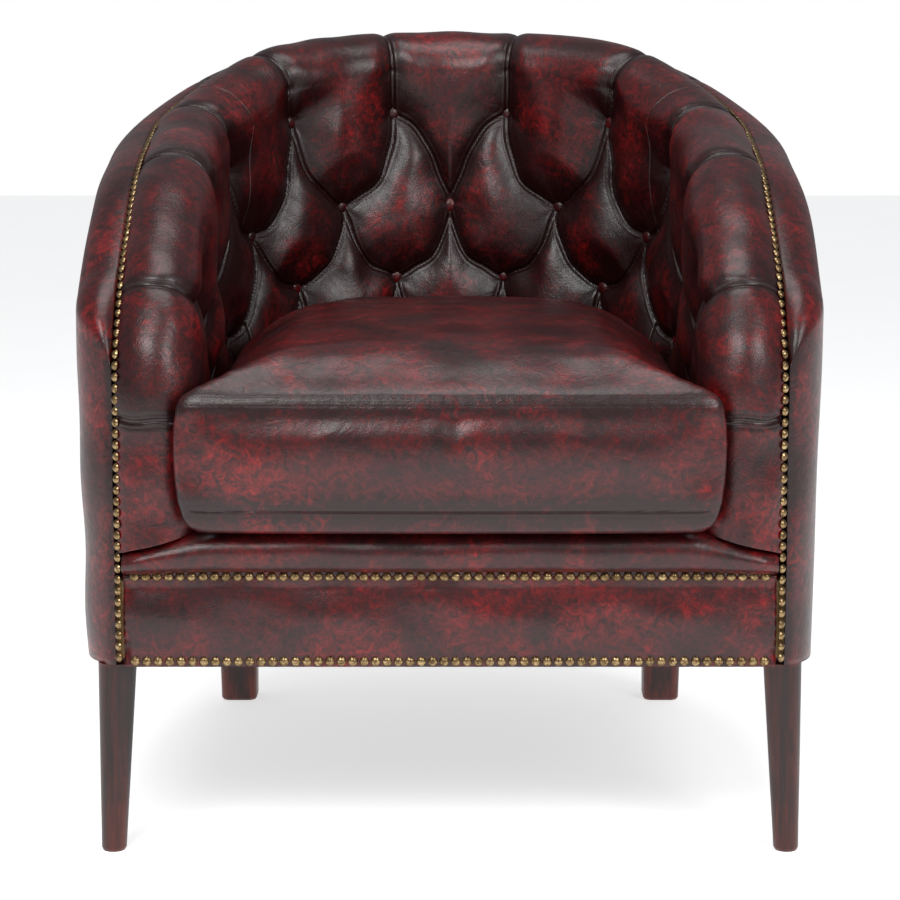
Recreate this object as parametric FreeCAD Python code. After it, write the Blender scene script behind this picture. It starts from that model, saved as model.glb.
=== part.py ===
# Chesterfield tub armchair in buttoned leather on four tapered wooden legs.
# Millimetres. +Z up, +Y to the back, +X to the sitter's left.
# The origin is on the floor, under the middle of the chair.
import FreeCAD, Part
import math
import os

Vec = FreeCAD.Vector
OUT = "parts"

# Plan of the tub, measured on the outer leather
half_width = 367.0          # outer leather from the middle plane, and the radius of the back
side_depth = 350.0          # centre of the back's round to the nail line on the arm fronts
corner_radius = 80.0        # front corners of the outer leather
leather = 2.8               # thickness of the hide
fit = 0.3                   # room between pieces that lie against each other
overlap = 1.0               # how far a cutting tool runs past what it cuts
bottom_lean = 9.0           # the outer walls come in by this much at the bottom edge
wall_step = 30.0            # distance between the sections of the outer walls
corner_step = 0.2           # turn between the sections round a front corner

# Rolled rim
nail_inset = 47.0           # nail line, inwards from the outer leather
roll_inset = 82.0           # middle of the roll, inwards from the outer leather
roll_radius = 46.0
roll_step = 28.0            # distance between the sections of the roll
crest_height = 777.0        # nail line at the middle of the back
corner_drop = 327.0         # where the nail line turns straight down on the arm front
rim_back = ((21.0, 4.0), (44.0, 17.0), (68.0, 59.0))     # degrees round the back, drop
rim_arm = ((331.0, 96.0), (191.0, 133.0), (121.0, 174.0), (57.0, 221.0), (15.0, 272.0))
shoulder_drop = 38.0        # height of the rounded outer shoulder under the nail line
outside_seam_angle = 57.0   # degrees round the back to the seam of the outside panels
roll_seam_angle = 68.0      # degrees round the back to the pleat that joins the roll's hides

# Heights of the seat
leather_bottom = 187.0
rail_bottom = 192.0
rail_height = 76.0
lip_nail_height = 276.0
lip_top = 321.0
lip_swell = 18.0            # the lip stands this far before the nail line
lip_back = 4.0              # its upper edge turns back this far behind the nail line
rail_swell = 5.0            # fullness of the padded front rail
core_gap = 10.0             # foot of the lip's stuffing behind the nail line
wall_bottom = 322.5         # lower edge of the buttoned wall and of the arm fronts
deck_top = 319.5
deck_cloth = 1.2

# Frame timber, as distances inwards from the outer leather
rail_outer = 22.0
rail_inner = 60.0
stile_outer = 36.0
stile_width = 40.0
front_rail_thick = 28.0
front_gap = 14.0            # nail line on the front to the timber behind it
post_inner = 89.0           # inner face of the arm post, inwards from the outer leather
post_outer = 59.0
post_depth = 36.0
foot_width = 72.0           # block under the arm post, inwards from the nail line
foot_depth = 74.0
block_side = 44.0           # glued corner blocks of the seat frame
block_drop = 8.0            # they stop short of the rail's edges by this much
top_rail_near = 53.0
top_rail_far = 91.0
top_rail_top = 14.0         # under the nail line
top_rail_bottom = 40.0
rail_room = 1.2             # between the top rail and the roll's stuffing
tack_rail_height = 28.0
stile_angles = (38.0, 78.0)

# Layers of the inside wall, inwards from the outer leather
web_thick = 1.7
web_width = 50.0
web_steps = 14              # degrees from one web to the next round the back
web_befores = (80.0, 150.0, 220.0, 290.0)    # webs in the arms, back from the nail line
web_room = 4.5              # the foam stands this far before the timber, to clear the flat webs
foam_face = 91.5
foam_drop = 4.0             # foam slab under the top rail
pad_back = 92.0
pad_valley = 100.0
pad_crest = 127.0
pad_foot = 118.2            # lower edge of the buttoned wall
wall_room = 1.2             # between the roll's hide and the buttoned wall
pillow_share = 0.16         # rise of a pillow for its height
back_rake = 0.08            # the inside back comes forward by this share of its depth

# Deep buttoning
button_pitch = 146.0        # along one row; the next row sits half a pitch on
button_rows = (80.0, 186.0, 270.0, 352.0)    # depth under the nail line
row_rise = 0.047            # the rows climb by this share of the distance round
row_reach = 292.0           # and stay level past this distance round
button_flat = 10.0          # half the flat seat under a button
button_radius = 8.0
button_height = 5.0
button_lift = 0.6           # its flat back over the floor of the valley
button_pocket = 12.0        # depth of the round pocket pressed into the pillows
pocket_room = 0.45          # behind the button's flat back
wall_seam_columns = 4.5     # the back's hide meets the arms' after this many columns of buttons

# Close nailing
nail_radius = 4.7
nail_rise = 2.8
nail_pitch = 10.9
nail_recess = 4.0           # the outer hide's edge stands this far outwards of the nail line
nail_room = 4.6             # the front hides end this far inside the nail line
nail_lift = 0.5             # flat back of a nail over the roll's hide
nail_edge = 1.0             # lowest row of nails over the lower edge of the hide

# Loose seat cushion
cushion_half = 232.0        # between the arms
cushion_wing = 36.0         # how far each front corner reaches out before the arm
wing_gap = 4.0              # room between the wing and the arm front
wing_taper = 45.0           # inset at which the wing has run out
wing_least = 1.5
wing_depth = 18.0
wing_step = 14.0            # how far the seam slants from the side to the wing
corner_soft = 15.0          # rounding of the front corners
front_bow = 5.0             # the front edge swells forward by this much
cushion_proud = 42.0        # front of the cushion before the nail line
cushion_back_shift = 36.0   # the cushion's round back stands this far before the tub's
cushion_bottom = 321.3
seam_low = 347.0
seam_high = 454.0
seam_inset = 4.0
band_rise = 26.0            # half the height over which the border stands fullest
band_inset = 0.5
cushion_room = 0.8          # between the hide and the foam
cushion_foot = ((0.0, 16.0), (7.0, 7.0))     # height over the underside, inset
cushion_crown = ((15.0, 20.0), (29.0, 55.0), (39.0, 100.0), (47.0, 170.0))   # over the upper seam

# Springs
spring_wire = 2.0
spring_turn = 15.0
spring_reach = 12.0         # half of each straight run
spring_columns = (-140.0, -70.0, 0.0, 70.0, 140.0)
clip_length = 26.0
clip_half = 6.0
clip_thick = 1.5

# Legs
front_leg_top = (325.0, 28.0)        # across, and back from the nail line
front_leg_foot = (330.0, 16.0)
front_leg_radii = (18.8, 12.2)
back_leg_across = 250.0
back_leg_rake = 50.0
back_leg_sides = (47.0, 42.0)
back_leg_inset = 46.0       # top of the back leg, inwards from the outer leather
tenon_radii = (9.0, 15.0)   # short round tenons on the front and back legs
back_leg_corner = 9.0
bolt_radius = 4.0
bolt_clear = 0.15
bolt_down = 45.0
bolt_up = 50.0
bolt_end = 2.0              # the hole runs this far past each end of the bolt
foot_chamfer = 3.0          # broken edge at the foot of a leg
heel_out = 2.0              # the back leg's foot stands this much further out

# Black cloth under the frame
dust_inset = 32.0           # inwards from the outer leather
dust_front = 20.0           # back from the nail line
dust_thick = 1.0
dust_room = 8.0             # round the legs

# Worked out from the sizes above
rail_top = rail_bottom + rail_height
centre_y = (side_depth + cushion_proud + front_bow - half_width) / 2
front_y = centre_y - side_depth
roll_run = half_width - roll_inset
arc_run = roll_run * math.pi / 2
front_run = arc_run + side_depth
roll_low = math.sqrt(roll_radius ** 2 - (roll_inset - nail_inset) ** 2)
corner_x = half_width - corner_radius
corner_y = front_y + math.sqrt(corner_radius ** 2 - (corner_radius - nail_inset) ** 2)
nail_x = half_width - nail_inset
corner_end = math.acos((corner_radius - nail_inset + nail_recess) / (corner_radius - leather))
foot_x = nail_x - foot_width
clip_top = rail_top + 2 * (spring_wire + fit) + clip_thick
diagonal = math.sqrt(0.5)


def on_plan(run, inset):
    """Point of the plan at a distance round the roll, with its outward and onward directions."""
    side = -1.0 if run < 0 else 1.0
    size = abs(run)
    if size <= arc_run:
        turn = size / roll_run
        out = Vec(side * math.sin(turn), math.cos(turn), 0)
        along = Vec(side * math.cos(turn), -math.sin(turn), 0)
        foot = Vec(0, centre_y, 0) + out * (half_width - inset)
    else:
        out = Vec(side, 0, 0)
        along = Vec(0, -1, 0)
        foot = Vec(side * (half_width - inset), centre_y - (size - arc_run), 0)
    return foot, out, along


def make_rim():
    """Nail line over one side, drawn flat: distance round, and height."""
    points = [Vec(0, crest_height, 0)]
    for degrees, drop in rim_back:
        points.append(Vec(math.radians(degrees) * roll_run, crest_height - drop, 0))
    for before, drop in rim_arm:
        points.append(Vec(front_run - before, crest_height - drop, 0))
    points.append(Vec(front_run, crest_height - corner_drop, 0))
    curve = Part.BSplineCurve()
    curve.interpolate(Points=points, InitialTangent=Vec(1, 0, 0), FinalTangent=Vec(0, -1, 0))
    return curve


rim = make_rim()
rim_length = rim.length()
rim_total = rim_length + crest_height - corner_drop - wall_bottom


def rim_at(distance):
    """Place and direction on the flat nail line after a distance from the middle of the back."""
    size = abs(distance)
    if size < rim_length:
        at = rim.parameterAtDistance(size, rim.FirstParameter) if size > 0 else rim.FirstParameter
        place = rim.value(at)
        way = rim.tangent(at)[0]
        return place.x, place.y, way.x, way.y
    return front_run, crest_height - corner_drop - (size - rim_length), 0.0, -1.0


def rim_height(run):
    """Height of the nail line above a distance round."""
    low, high = rim.FirstParameter, rim.LastParameter
    for _ in range(50):
        middle = (low + high) / 2
        if rim.value(middle).x < abs(run):
            low = middle
        else:
            high = middle
    return rim.value(low).y


def under_rim(run, depth):
    """Height of the line that runs inside the nail line at an even depth."""
    low, high = 0.0, rim_length
    for _ in range(50):
        middle = (low + high) / 2
        v, z, tv, tz = rim_at(middle)
        if v + tz * depth < abs(run):
            low = middle
        else:
            high = middle
    v, z, tv, tz = rim_at(low)
    return z - tv * depth


def in_roll(distance, inset, depth):
    """Point in the plane across the rim: inset from the outer leather, depth inside the nail line."""
    v, z, tv, tz = rim_at(distance)
    side = -1.0 if distance < 0 else 1.0
    foot, out, along = on_plan(side * v, inset)
    return Vec(foot.x, foot.y, z) + along * (tz * depth) + Vec(0, 0, -tv * depth)


def spread(start, end, step):
    """Even places from start to end, about one step apart."""
    count = max(2, int(round(abs(end - start) / step)))
    return [start + (end - start) * i / count for i in range(count + 1)]


def arc(a, b, c):
    return Part.Arc(a, b, c).toShape()


def line(a, b):
    return Part.LineSegment(a, b).toShape()


def loft(wires, ruled=False):
    solid = Part.makeLoft(wires, True, ruled)
    if solid.Volume < 0:
        solid.reverse()
    return solid


def box(x0, x1, y0, y1, z0, z1):
    return Part.makeBox(x1 - x0, y1 - y0, z1 - z0, Vec(x0, y0, z0))


def extrude(points, height):
    face = Part.Face(Part.makePolygon(points + [points[0]]))
    return face.extrude(Vec(0, 0, height))


def ring_sector(inner, outer, start, end, z0, z1):
    """Upright curved bar about the centre of the back, between two angles from straight back."""
    def at(radius, degrees):
        turn = math.radians(degrees)
        return Vec(radius * math.sin(turn), centre_y + radius * math.cos(turn), z0)
    middle = (start + end) / 2
    edges = [arc(at(outer, start), at(outer, middle), at(outer, end)),
             line(at(outer, end), at(inner, end)),
             arc(at(inner, end), at(inner, middle), at(inner, start)),
             line(at(inner, start), at(outer, start))]
    return Part.Face(Part.Wire(edges)).extrude(Vec(0, 0, z1 - z0))


def rod(start, end, radius):
    way = end - start
    return Part.makeCylinder(radius, way.Length, start, way)


def mirrored(shape):
    return shape.mirror(Vec(0, 0, 0), Vec(1, 0, 0))


def polar(distance, radius, degrees):
    """Point on a circle round the roll's middle line. 180 degrees is straight outwards."""
    turn = math.radians(degrees)
    return in_roll(distance, roll_inset + radius * math.cos(turn), roll_low - radius * math.sin(turn))


nail_degrees = math.degrees(math.atan2(roll_low, nail_inset - roll_inset))


def roll_skin_section(distance):
    """Hide over the roll, from the nail line over the top to the inside wall."""
    inside = roll_radius - leather
    middle = nail_degrees / 2
    edges = [arc(polar(distance, roll_radius, nail_degrees), polar(distance, roll_radius, middle),
                 polar(distance, roll_radius, 0)),
             line(polar(distance, roll_radius, 0), polar(distance, inside, 0)),
             arc(polar(distance, inside, 0), polar(distance, inside, middle),
                 polar(distance, inside, nail_degrees)),
             line(polar(distance, inside, nail_degrees), polar(distance, roll_radius, nail_degrees))]
    return Part.Wire(edges)


def roll_foam_section(distance):
    """Stuffing of the roll, flat where it lies on the top rail."""
    radius = roll_radius - leather - fit
    depth = top_rail_top - rail_room
    flat = math.degrees(math.asin((roll_low - depth) / radius))
    start, end = polar(distance, radius, nail_degrees), polar(distance, radius, flat)
    turn = math.radians(nail_degrees)
    corner = in_roll(distance, roll_inset + radius * math.cos(turn), depth)
    edges = [arc(start, polar(distance, radius, 90), end), line(end, corner), line(corner, start)]
    return Part.Wire(edges)


def top_rail_section(distance):
    corners = [in_roll(distance, top_rail_near, top_rail_top),
               in_roll(distance, top_rail_far, top_rail_top),
               in_roll(distance, top_rail_far, top_rail_bottom),
               in_roll(distance, top_rail_near, top_rail_bottom)]
    return Part.makePolygon(corners + [corners[0]])


def along_roll(section, start, end, step):
    return loft([section(d) for d in spread(start, end, step)])


def rim_distance(run):
    """Distance along the nail line to the place above a distance round."""
    low, high = 0.0, rim_length
    for _ in range(50):
        middle = (low + high) / 2
        if rim_at(middle)[0] < run:
            low = middle
        else:
            high = middle
    return low


def outside_section(foot_of, inset, recess, lean, top):
    """Outer hide in one upright plane: wall, rounded shoulder and back again inside."""
    def at(across, z):
        place = foot_of(across)
        return Vec(place.x, place.y, z)
    rise = shoulder_drop * inset / nail_inset
    radius = (inset ** 2 + rise ** 2) / (2 * inset)

    def round_of(depth_under, end):
        size = radius - depth_under
        last = math.asin(min(1.0, rise / radius)) if end is None else end
        points = [(radius - size * math.cos(t), rise - size * math.sin(t)) for t in (last / 2, last)]
        return [at(across, top - drop) for across, drop in points]
    reach = inset - recess
    over = math.acos(max(-1.0, min(1.0, (radius - reach) / radius)))
    foot, foot_in = at(lean, leather_bottom), at(lean + leather, leather_bottom)
    knee, knee_in = at(0, top - rise), at(leather, top - rise)
    crown, edge = round_of(0, over)
    crown_in, edge_in = round_of(leather, over)
    edges = [line(foot, knee), arc(knee, crown, edge), line(edge, edge_in),
             arc(edge_in, crown_in, knee_in), line(knee_in, foot_in), line(foot_in, foot)]
    return Part.Wire(edges)


def outside_wall_section(run, recess):
    def foot_of(inset):
        return on_plan(run, inset)[0]
    return outside_section(foot_of, nail_inset, recess, bottom_lean, rim_height(run))


def outside_corner_section(turn):
    """Section across the front corner, at an angle from straight outwards."""
    def foot_of(inset):
        reach = corner_radius - inset
        return Vec(corner_x + reach * math.cos(turn), corner_y - reach * math.sin(turn), 0)
    reach = (corner_radius - nail_inset + nail_recess) / math.cos(turn)
    inset = corner_radius - reach + nail_recess
    run = arc_run + centre_y - (corner_y - reach * math.sin(turn))
    lean = bottom_lean * (1 - turn / corner_end)
    top = rim_height(min(run, front_run))
    return outside_section(foot_of, max(inset, 2 * leather), nail_recess, lean, top)


def make_outside_covers():
    seam = math.radians(outside_seam_angle) * roll_run
    back = loft([outside_wall_section(v, 0) for v in spread(-seam, seam, wall_step)])
    start = seam + fit / 2
    wires = [outside_wall_section(v, nail_recess) for v in spread(start, arc_run, wall_step)]
    side_run = arc_run + centre_y - corner_y
    wires += [outside_wall_section(v, nail_recess) for v in spread(arc_run, side_run, wall_step)[1:]]
    wires += [outside_corner_section(t) for t in spread(0, corner_end, corner_step)[1:]]
    arm = loft(wires)
    return {"outside_back_cover": back, "outside_arm_cover_left": arm,
            "outside_arm_cover_right": mirrored(arm)}


def make_roll():
    """Rolled rim: hides, stuffing and the curved rails under it."""
    seam = rim_distance(math.radians(roll_seam_angle) * roll_run)
    bare = rim_total - rim_length
    parts = {}
    parts["roll_cover_back"] = along_roll(roll_skin_section, -seam, seam, roll_step)
    parts["roll_foam_back"] = along_roll(roll_foam_section, -seam, seam, roll_step)
    parts["crest_rail"] = along_roll(top_rail_section, -seam, seam, roll_step)
    start = seam + fit / 2
    skin = along_roll(roll_skin_section, start, rim_length, roll_step)
    skin_front = along_roll(roll_skin_section, rim_length, rim_length + bare, bare)
    foam = along_roll(roll_foam_section, start, rim_length, roll_step)
    foam_front = along_roll(roll_foam_section, rim_length, rim_length + bare, bare)
    rail = along_roll(top_rail_section, seam, rim_length, roll_step)
    for name, shape in (("roll_cover", skin.fuse(skin_front)), ("roll_foam", foam.fuse(foam_front)),
                        ("arm_rail", rail)):
        parts[name + "_left"] = shape
        parts[name + "_right"] = mirrored(shape)
    return parts


def wall_point(run, inset, z):
    foot = on_plan(run, inset)[0]
    return Vec(foot.x, foot.y, z)


def raked(run, inset, depth):
    """Inset of the inside face, which comes forward low down at the back."""
    turn = min(abs(run) / roll_run, math.pi / 2)
    return inset + back_rake * depth * math.cos(turn) ** 2


def row_depth(run, depth):
    """Depth of a row of buttons at a place round the wall."""
    return depth - row_rise * min(abs(run), row_reach)


def button_depths(run):
    """Depths of the pleat valleys at a place round the wall, with flats where buttons sit."""
    first, second, third, fourth = [row_depth(run, depth) for depth in button_rows]
    phase = (abs(run) / button_pitch) % 1.0
    share = 1 - abs(2 * phase - 1)
    high = second + (first - second) * share - button_flat * (1 - share)
    middle = second + (third - second) * share + button_flat * (1 - 2 * share)
    low = fourth + (third - fourth) * share + button_flat * share
    return high, middle, low


def tufted_section(run):
    """Buttoned wall in one upright plane: flat back, pillows between the valleys."""
    top = under_rim(run, roll_low + wall_room)
    top_depth = rim_height(run) - top
    floor_depth = top_depth + top - wall_bottom
    smallest = 2 * button_flat
    high, middle, low = button_depths(run)
    low = min(low, floor_depth - smallest)
    middle = min(middle, low - smallest)
    high = min(high, middle - smallest)
    depths = [top_depth, high, middle, low, floor_depth]
    insets = [pad_crest, pad_valley, pad_valley, pad_valley, pad_foot]
    if high - top_depth < smallest:
        depths = [top_depth + (floor_depth - top_depth) * i / 4 for i in range(5)]
    rim_z = top + top_depth
    points = [wall_point(run, raked(run, i, d), rim_z - d) for i, d in zip(insets, depths)]
    back = [wall_point(run, pad_back, wall_bottom), wall_point(run, pad_back, top)]
    edges = []
    for i in range(4):
        span = depths[i + 1] - depths[i]
        swell = fit + pillow_share * max(span - smallest, 0.0)
        swell = min(pad_crest, (insets[i] + insets[i + 1]) / 2 + swell)
        depth = (depths[i] + depths[i + 1]) / 2
        middle_point = wall_point(run, raked(run, swell, depth), rim_z - depth)
        edges.append(arc(points[i], middle_point, points[i + 1]))
    edges += [line(points[4], back[0]), line(back[0], back[1]), line(back[1], points[0])]
    return Part.Wire(edges)


def foam_section(run):
    top = under_rim(run, top_rail_bottom + foam_drop)
    inner = rail_inner + web_room
    points = [wall_point(run, inner, wall_bottom), wall_point(run, foam_face, wall_bottom),
              wall_point(run, foam_face, top), wall_point(run, inner, top)]
    return Part.makePolygon(points + [points[0]])


def pocketed(wall, low, high):
    """Buttoned wall with the round seats of the buttons between two distances round."""
    for run, seat, way in button_places():
        if low < run < high:
            start = seat - way * pocket_room
            wall = wall.cut(rod(start, seat + way * button_pocket, button_radius + fit))
    return wall


def make_inside_wall():
    """Buttoned leather with its filling, and the foam slabs behind it."""
    seam = wall_seam_columns * button_pitch / 2
    end = front_run - roll_low - wall_room
    step = button_pitch / 6
    last = int(seam / step)
    back_places = [-seam] + [step * i for i in range(-last, last + 1)] + [seam]
    arm_places = [seam] + [step * i for i in range(last + 1, int(end / step) + 1)] + [end]
    back = pocketed(loft([tufted_section(v) for v in back_places], True), -seam, seam)
    arm = pocketed(loft([tufted_section(v) for v in arm_places], True), seam, end)
    foam_end = front_run - post_depth - front_gap - fit
    foam_back = loft([foam_section(v) for v in spread(-seam, seam, 60)])
    foam_arm = loft([foam_section(v) for v in spread(seam, foam_end, 50)])
    return {"tufted_back": back, "tufted_arm_left": arm, "tufted_arm_right": mirrored(arm),
            "wall_foam_back": foam_back, "wall_foam_left": foam_arm,
            "wall_foam_right": mirrored(foam_arm)}


def button_places():
    """Distance round, seat and facing of each button that lies above the seat."""
    places = []
    reach = int(front_run / button_pitch * 2) + 1
    for half_steps in range(-reach, reach + 1):
        run = half_steps * button_pitch / 2
        if abs(run) > front_run - roll_low - button_pitch / 2:
            continue
        rows = button_rows[1::2] if half_steps % 2 == 0 else button_rows[0::2]
        for depth in [row_depth(run, row) for row in rows]:
            z = rim_height(run) - depth
            if z > seam_high:
                foot, out, along = on_plan(run, raked(run, pad_valley, depth) + button_lift)
                places.append((run, Vec(foot.x, foot.y, z), out * -1.0))
    return places


def dome(seat, way, radius, rise):
    """Low domed head that stands on a flat disc."""
    ball = (radius ** 2 + rise ** 2) / (2 * rise)
    shape = Part.makeSphere(ball, Vec(0, 0, rise - ball))
    shape = shape.common(Part.makeBox(4 * ball, 4 * ball, 2 * rise, Vec(-2 * ball, -2 * ball, 0)))
    turn = FreeCAD.Rotation(Vec(0, 0, 1), way)
    shape.Placement = FreeCAD.Placement(seat, turn)
    return shape


def make_buttons():
    heads = [dome(seat, way, button_radius, button_height) for run, seat, way in button_places()]
    return {"buttons": Part.makeCompound(heads)}


def nail_on_rim(distance):
    """Head on the edge of the roll's hide, facing straight out of the roll."""
    seat = polar(distance, roll_radius + nail_lift, nail_degrees)
    way = (seat - polar(distance, 0, 0)).normalize()
    return dome(seat, way, nail_radius, nail_rise)


def make_nails():
    """Close nailing up each arm front and over the arm, and in two rows across the front."""
    end = rim_distance(math.radians(outside_seam_angle) * roll_run)
    low = rim_length + crest_height - corner_drop - (leather_bottom + 2 * nail_radius)
    count = int((low - end) / nail_pitch)
    side = Part.makeCompound([nail_on_rim(low - i * (low - end) / count) for i in range(count)])
    rows = []
    across = nail_x - nail_pitch - nail_radius
    places = int(2 * across / nail_pitch)
    for z in (lip_nail_height, leather_bottom + nail_radius + nail_edge):
        heads = [dome(Vec(-across + 2 * across * i / places, front_y - fit, z), Vec(0, -1, 0),
                      nail_radius, nail_rise) for i in range(places + 1)]
        rows.append(Part.makeCompound(heads))
    return {"nails_left": side, "nails_right": mirrored(side), "nails_lip_row": rows[0],
            "nails_bottom_row": rows[1]}


def across_front(profile, half):
    """Solid with one profile, given by (how far before the nail line, height), across the front."""
    face = Part.Face(Part.Wire(Part.__sortEdges__(profile)))
    return face.extrude(Vec(2 * half, 0, 0))


def front_point(half, before, z):
    return Vec(-half, front_y - before, z)


def make_front_leather():
    """Hides and stuffing of the seat lip and of the front rail, between the nail lines."""
    half = nail_x - nail_room
    back = front_gap + front_rail_thick
    lip_foot = lip_nail_height + nail_room
    lip_middle = (lip_foot + lip_top) / 2

    def at(before, z):
        return front_point(half, before, z)

    def lip(shrink):
        return [at(-shrink, lip_nail_height), at(-shrink, lip_foot), at(lip_swell - shrink, lip_middle),
                at(-shrink - lip_back, lip_top - shrink), at(-back, lip_top - shrink)]

    def lip_front(p):
        return [line(p[0], p[1]), arc(p[1], p[2], p[3]), line(p[3], p[4])]
    outer, inner, core = lip(0), lip(leather), lip(leather + fit)
    skin = lip_front(outer) + [line(outer[4], inner[4])] + lip_front(inner) + [line(inner[0], outer[0])]
    foot = [at(-back, clip_top + fit), at(-core_gap, clip_top + fit)]
    stuffing = lip_front(core) + [line(core[4], foot[0]), line(foot[0], foot[1]), line(foot[1], core[0])]
    low, high = leather_bottom + 2 * nail_room, lip_nail_height - 2 * nail_room
    middle = (low + high) / 2

    def rail_front(shrink, z0, z1):
        return [line(at(-shrink, z0), at(-shrink, low)),
                arc(at(-shrink, low), at(rail_swell - shrink, middle), at(-shrink, high)),
                line(at(-shrink, high), at(-shrink, z1))]

    def closed(front, rear):
        ends = [edge.Vertexes[i].Point for edge, i in ((front[0], 0), (front[2], 1),
                                                       (rear[0], 0), (rear[2], 1))]
        return front + rear + [line(ends[0], ends[2]), line(ends[1], ends[3])]
    z1 = lip_nail_height - fit
    rail_skin = closed(rail_front(0, leather_bottom, z1), rail_front(leather, leather_bottom, z1))
    face = fit - front_gap
    wad_front = rail_front(leather + fit, rail_bottom, rail_top)
    wadding = wad_front + [line(at(-leather - fit, rail_bottom), at(face, rail_bottom)),
                           line(at(face, rail_bottom), at(face, rail_top)),
                           line(at(face, rail_top), at(-leather - fit, rail_top))]
    room = half_width - post_inner - fit
    parts = {"seat_lip_cover": across_front(skin, half), "seat_lip_foam": across_front(stuffing, half),
             "front_rail_cover": across_front(rail_skin, half),
             "front_rail_wadding": across_front(wadding, half)}
    for sign in (-1, 1):
        x0, x1 = sorted((sign * room, sign * half_width))
        beside = box(x0, x1, front_y + front_gap - fit, front_y + back + overlap, rail_top,
                     lip_top + overlap)
        for name in ("seat_lip_cover", "seat_lip_foam"):
            parts[name] = parts[name].cut(beside)
    return parts


def leg_places():
    """Names and axis tops of the four legs."""
    ring = half_width - back_leg_inset
    back_y = centre_y + math.sqrt(ring ** 2 - back_leg_across ** 2)
    front = Vec(front_leg_top[0], front_y + front_leg_top[1], rail_bottom)
    return front, Vec(back_leg_across, back_y, rail_bottom)


def bolt_hole(place):
    return rod(Vec(place.x, place.y, rail_bottom - bolt_down - bolt_end),
               Vec(place.x, place.y, rail_bottom + bolt_up + bolt_end), bolt_radius + bolt_clear)


def post_foot(front_leg):
    """Block in the front corner that carries the arm post and takes the front leg."""
    front_face = front_y + front_gap
    outer = half_width - rail_outer
    reach = corner_radius - (rail_outer + bottom_lean) / 2
    knee = diagonal * reach
    shallow = corner_y - front_face
    across = math.sqrt(reach ** 2 - shallow ** 2)
    points = [(foot_x, front_face), (corner_x + across, front_face), (corner_x + knee, corner_y - knee),
              (outer, corner_y), (outer, front_face + foot_depth), (foot_x, front_face + foot_depth)]
    block = extrude([Vec(x, y, rail_bottom) for x, y in points], rail_height)
    return block.cut(bolt_hole(front_leg))


def make_stiles():
    """Upright stiles of the tub, parted where the tack rail runs between their halves."""
    inner, outer = half_width - rail_inner, half_width - stile_outer
    bars = {}
    for side_name, sign in (("left", 1), ("right", -1)):
        for kind, angle in zip(("back", "arm"), stile_angles):
            run = math.radians(angle) * roll_run
            half = math.degrees(stile_width / (inner + outer))
            top = under_rim(run + stile_width / 2, top_rail_bottom) - fit
            for low, high in ((rail_top, wall_bottom), (wall_bottom + tack_rail_height, top)):
                bar = ring_sector(inner, outer, sign * angle - half, sign * angle + half, low, high)
                bars.setdefault(kind + "_stile_" + side_name, []).append(bar)
    return {name: Part.makeCompound(pair) for name, pair in bars.items()}


def make_seat_frame():
    """Rails of the seat, the posts of the arms and the rail that the inside wall is tacked to."""
    front_leg, back_leg = leg_places()
    outer, inner = half_width - rail_outer, half_width - rail_inner
    tack_outer, tack_top = half_width - stile_outer, wall_bottom + tack_rail_height
    front_face = front_y + front_gap
    foot_end = front_face + foot_depth
    ring = ring_sector(inner, outer, -90, 90, rail_bottom, rail_top)
    ring = ring.cut([bolt_hole(back_leg), bolt_hole(Vec(-back_leg.x, back_leg.y, 0))])
    parts = {"front_rail": box(-foot_x, foot_x, front_face, front_face + front_rail_thick,
                               rail_bottom, rail_top),
             "back_seat_rail": ring,
             "back_tack_rail": ring_sector(inner, tack_outer, -90, 90, wall_bottom, tack_top)}
    post = box(half_width - post_inner, half_width - post_outer, front_face, front_face + post_depth,
               rail_top, crest_height - corner_drop)
    for name, shape in (("front_post_foot", post_foot(front_leg)), ("arm_post", post),
                        ("side_rail", box(inner, outer, foot_end, centre_y, rail_bottom, rail_top)),
                        ("arm_tack_rail", box(inner, tack_outer, foot_end, centre_y, wall_bottom,
                                              tack_top))):
        parts[name + "_left"] = shape
        parts[name + "_right"] = mirrored(shape)
    return parts


def make_webbing():
    """Upright webs inside the wall, from the tack rail to the top rail."""
    strips = []
    half = web_width / 2
    radius = half_width - rail_inner - fit
    near = math.sqrt(radius ** 2 - half ** 2) - web_thick
    reach = web_steps * int(90 / web_steps)
    for degrees in range(-reach, reach + 1, web_steps):
        run = math.radians(abs(degrees)) * roll_run
        top = under_rim(run + half, top_rail_bottom) - fit
        strip = box(-half, half, near, near + web_thick, wall_bottom + fit, top)
        strip.rotate(Vec(0, 0, 0), Vec(0, 0, 1), -degrees)
        strip.translate(Vec(0, centre_y, 0))
        strips.append(strip)
    for before in web_befores:
        top = under_rim(front_run - before + half, top_rail_bottom) - fit
        y = front_y + before
        strip = box(radius - web_thick, radius, y - half, y + half, wall_bottom + fit, top)
        strips += [strip, mirrored(strip)]
    return {"inside_webbing": Part.makeCompound(strips)}


def make_spring(x, y0, y1, z):
    """Zigzag spring lying flat: straight runs across, joined by half rounds."""
    turns = 2 * int((y1 - y0) / (2 * spring_turn) / 2)
    step = (y1 - y0) / turns
    radius = step / 2
    edges = []
    for i in range(turns + 1):
        y = y0 + i * step
        sign = 1 if i % 2 == 0 else -1
        a, b = Vec(x - sign * spring_reach, y, z), Vec(x + sign * spring_reach, y, z)
        edges.append(line(a, b))
        if i < turns:
            c = Vec(b.x, y + step, z)
            tip = Vec(b.x + sign * radius, y + radius, z)
            low = Vec(b.x + sign * radius * diagonal, y + radius * (1 - diagonal), z)
            high = Vec(b.x + sign * radius * diagonal, y + radius * (1 + diagonal), z)
            edges += [arc(b, low, tip), arc(tip, high, c)]
    path = Part.Wire(edges)
    start = Vec(x - spring_reach, y0, z)
    ring = Part.Wire(Part.makeCircle(spring_wire, start, Vec(1, 0, 0)))
    return path.makePipeShell([ring], True, False)


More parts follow.
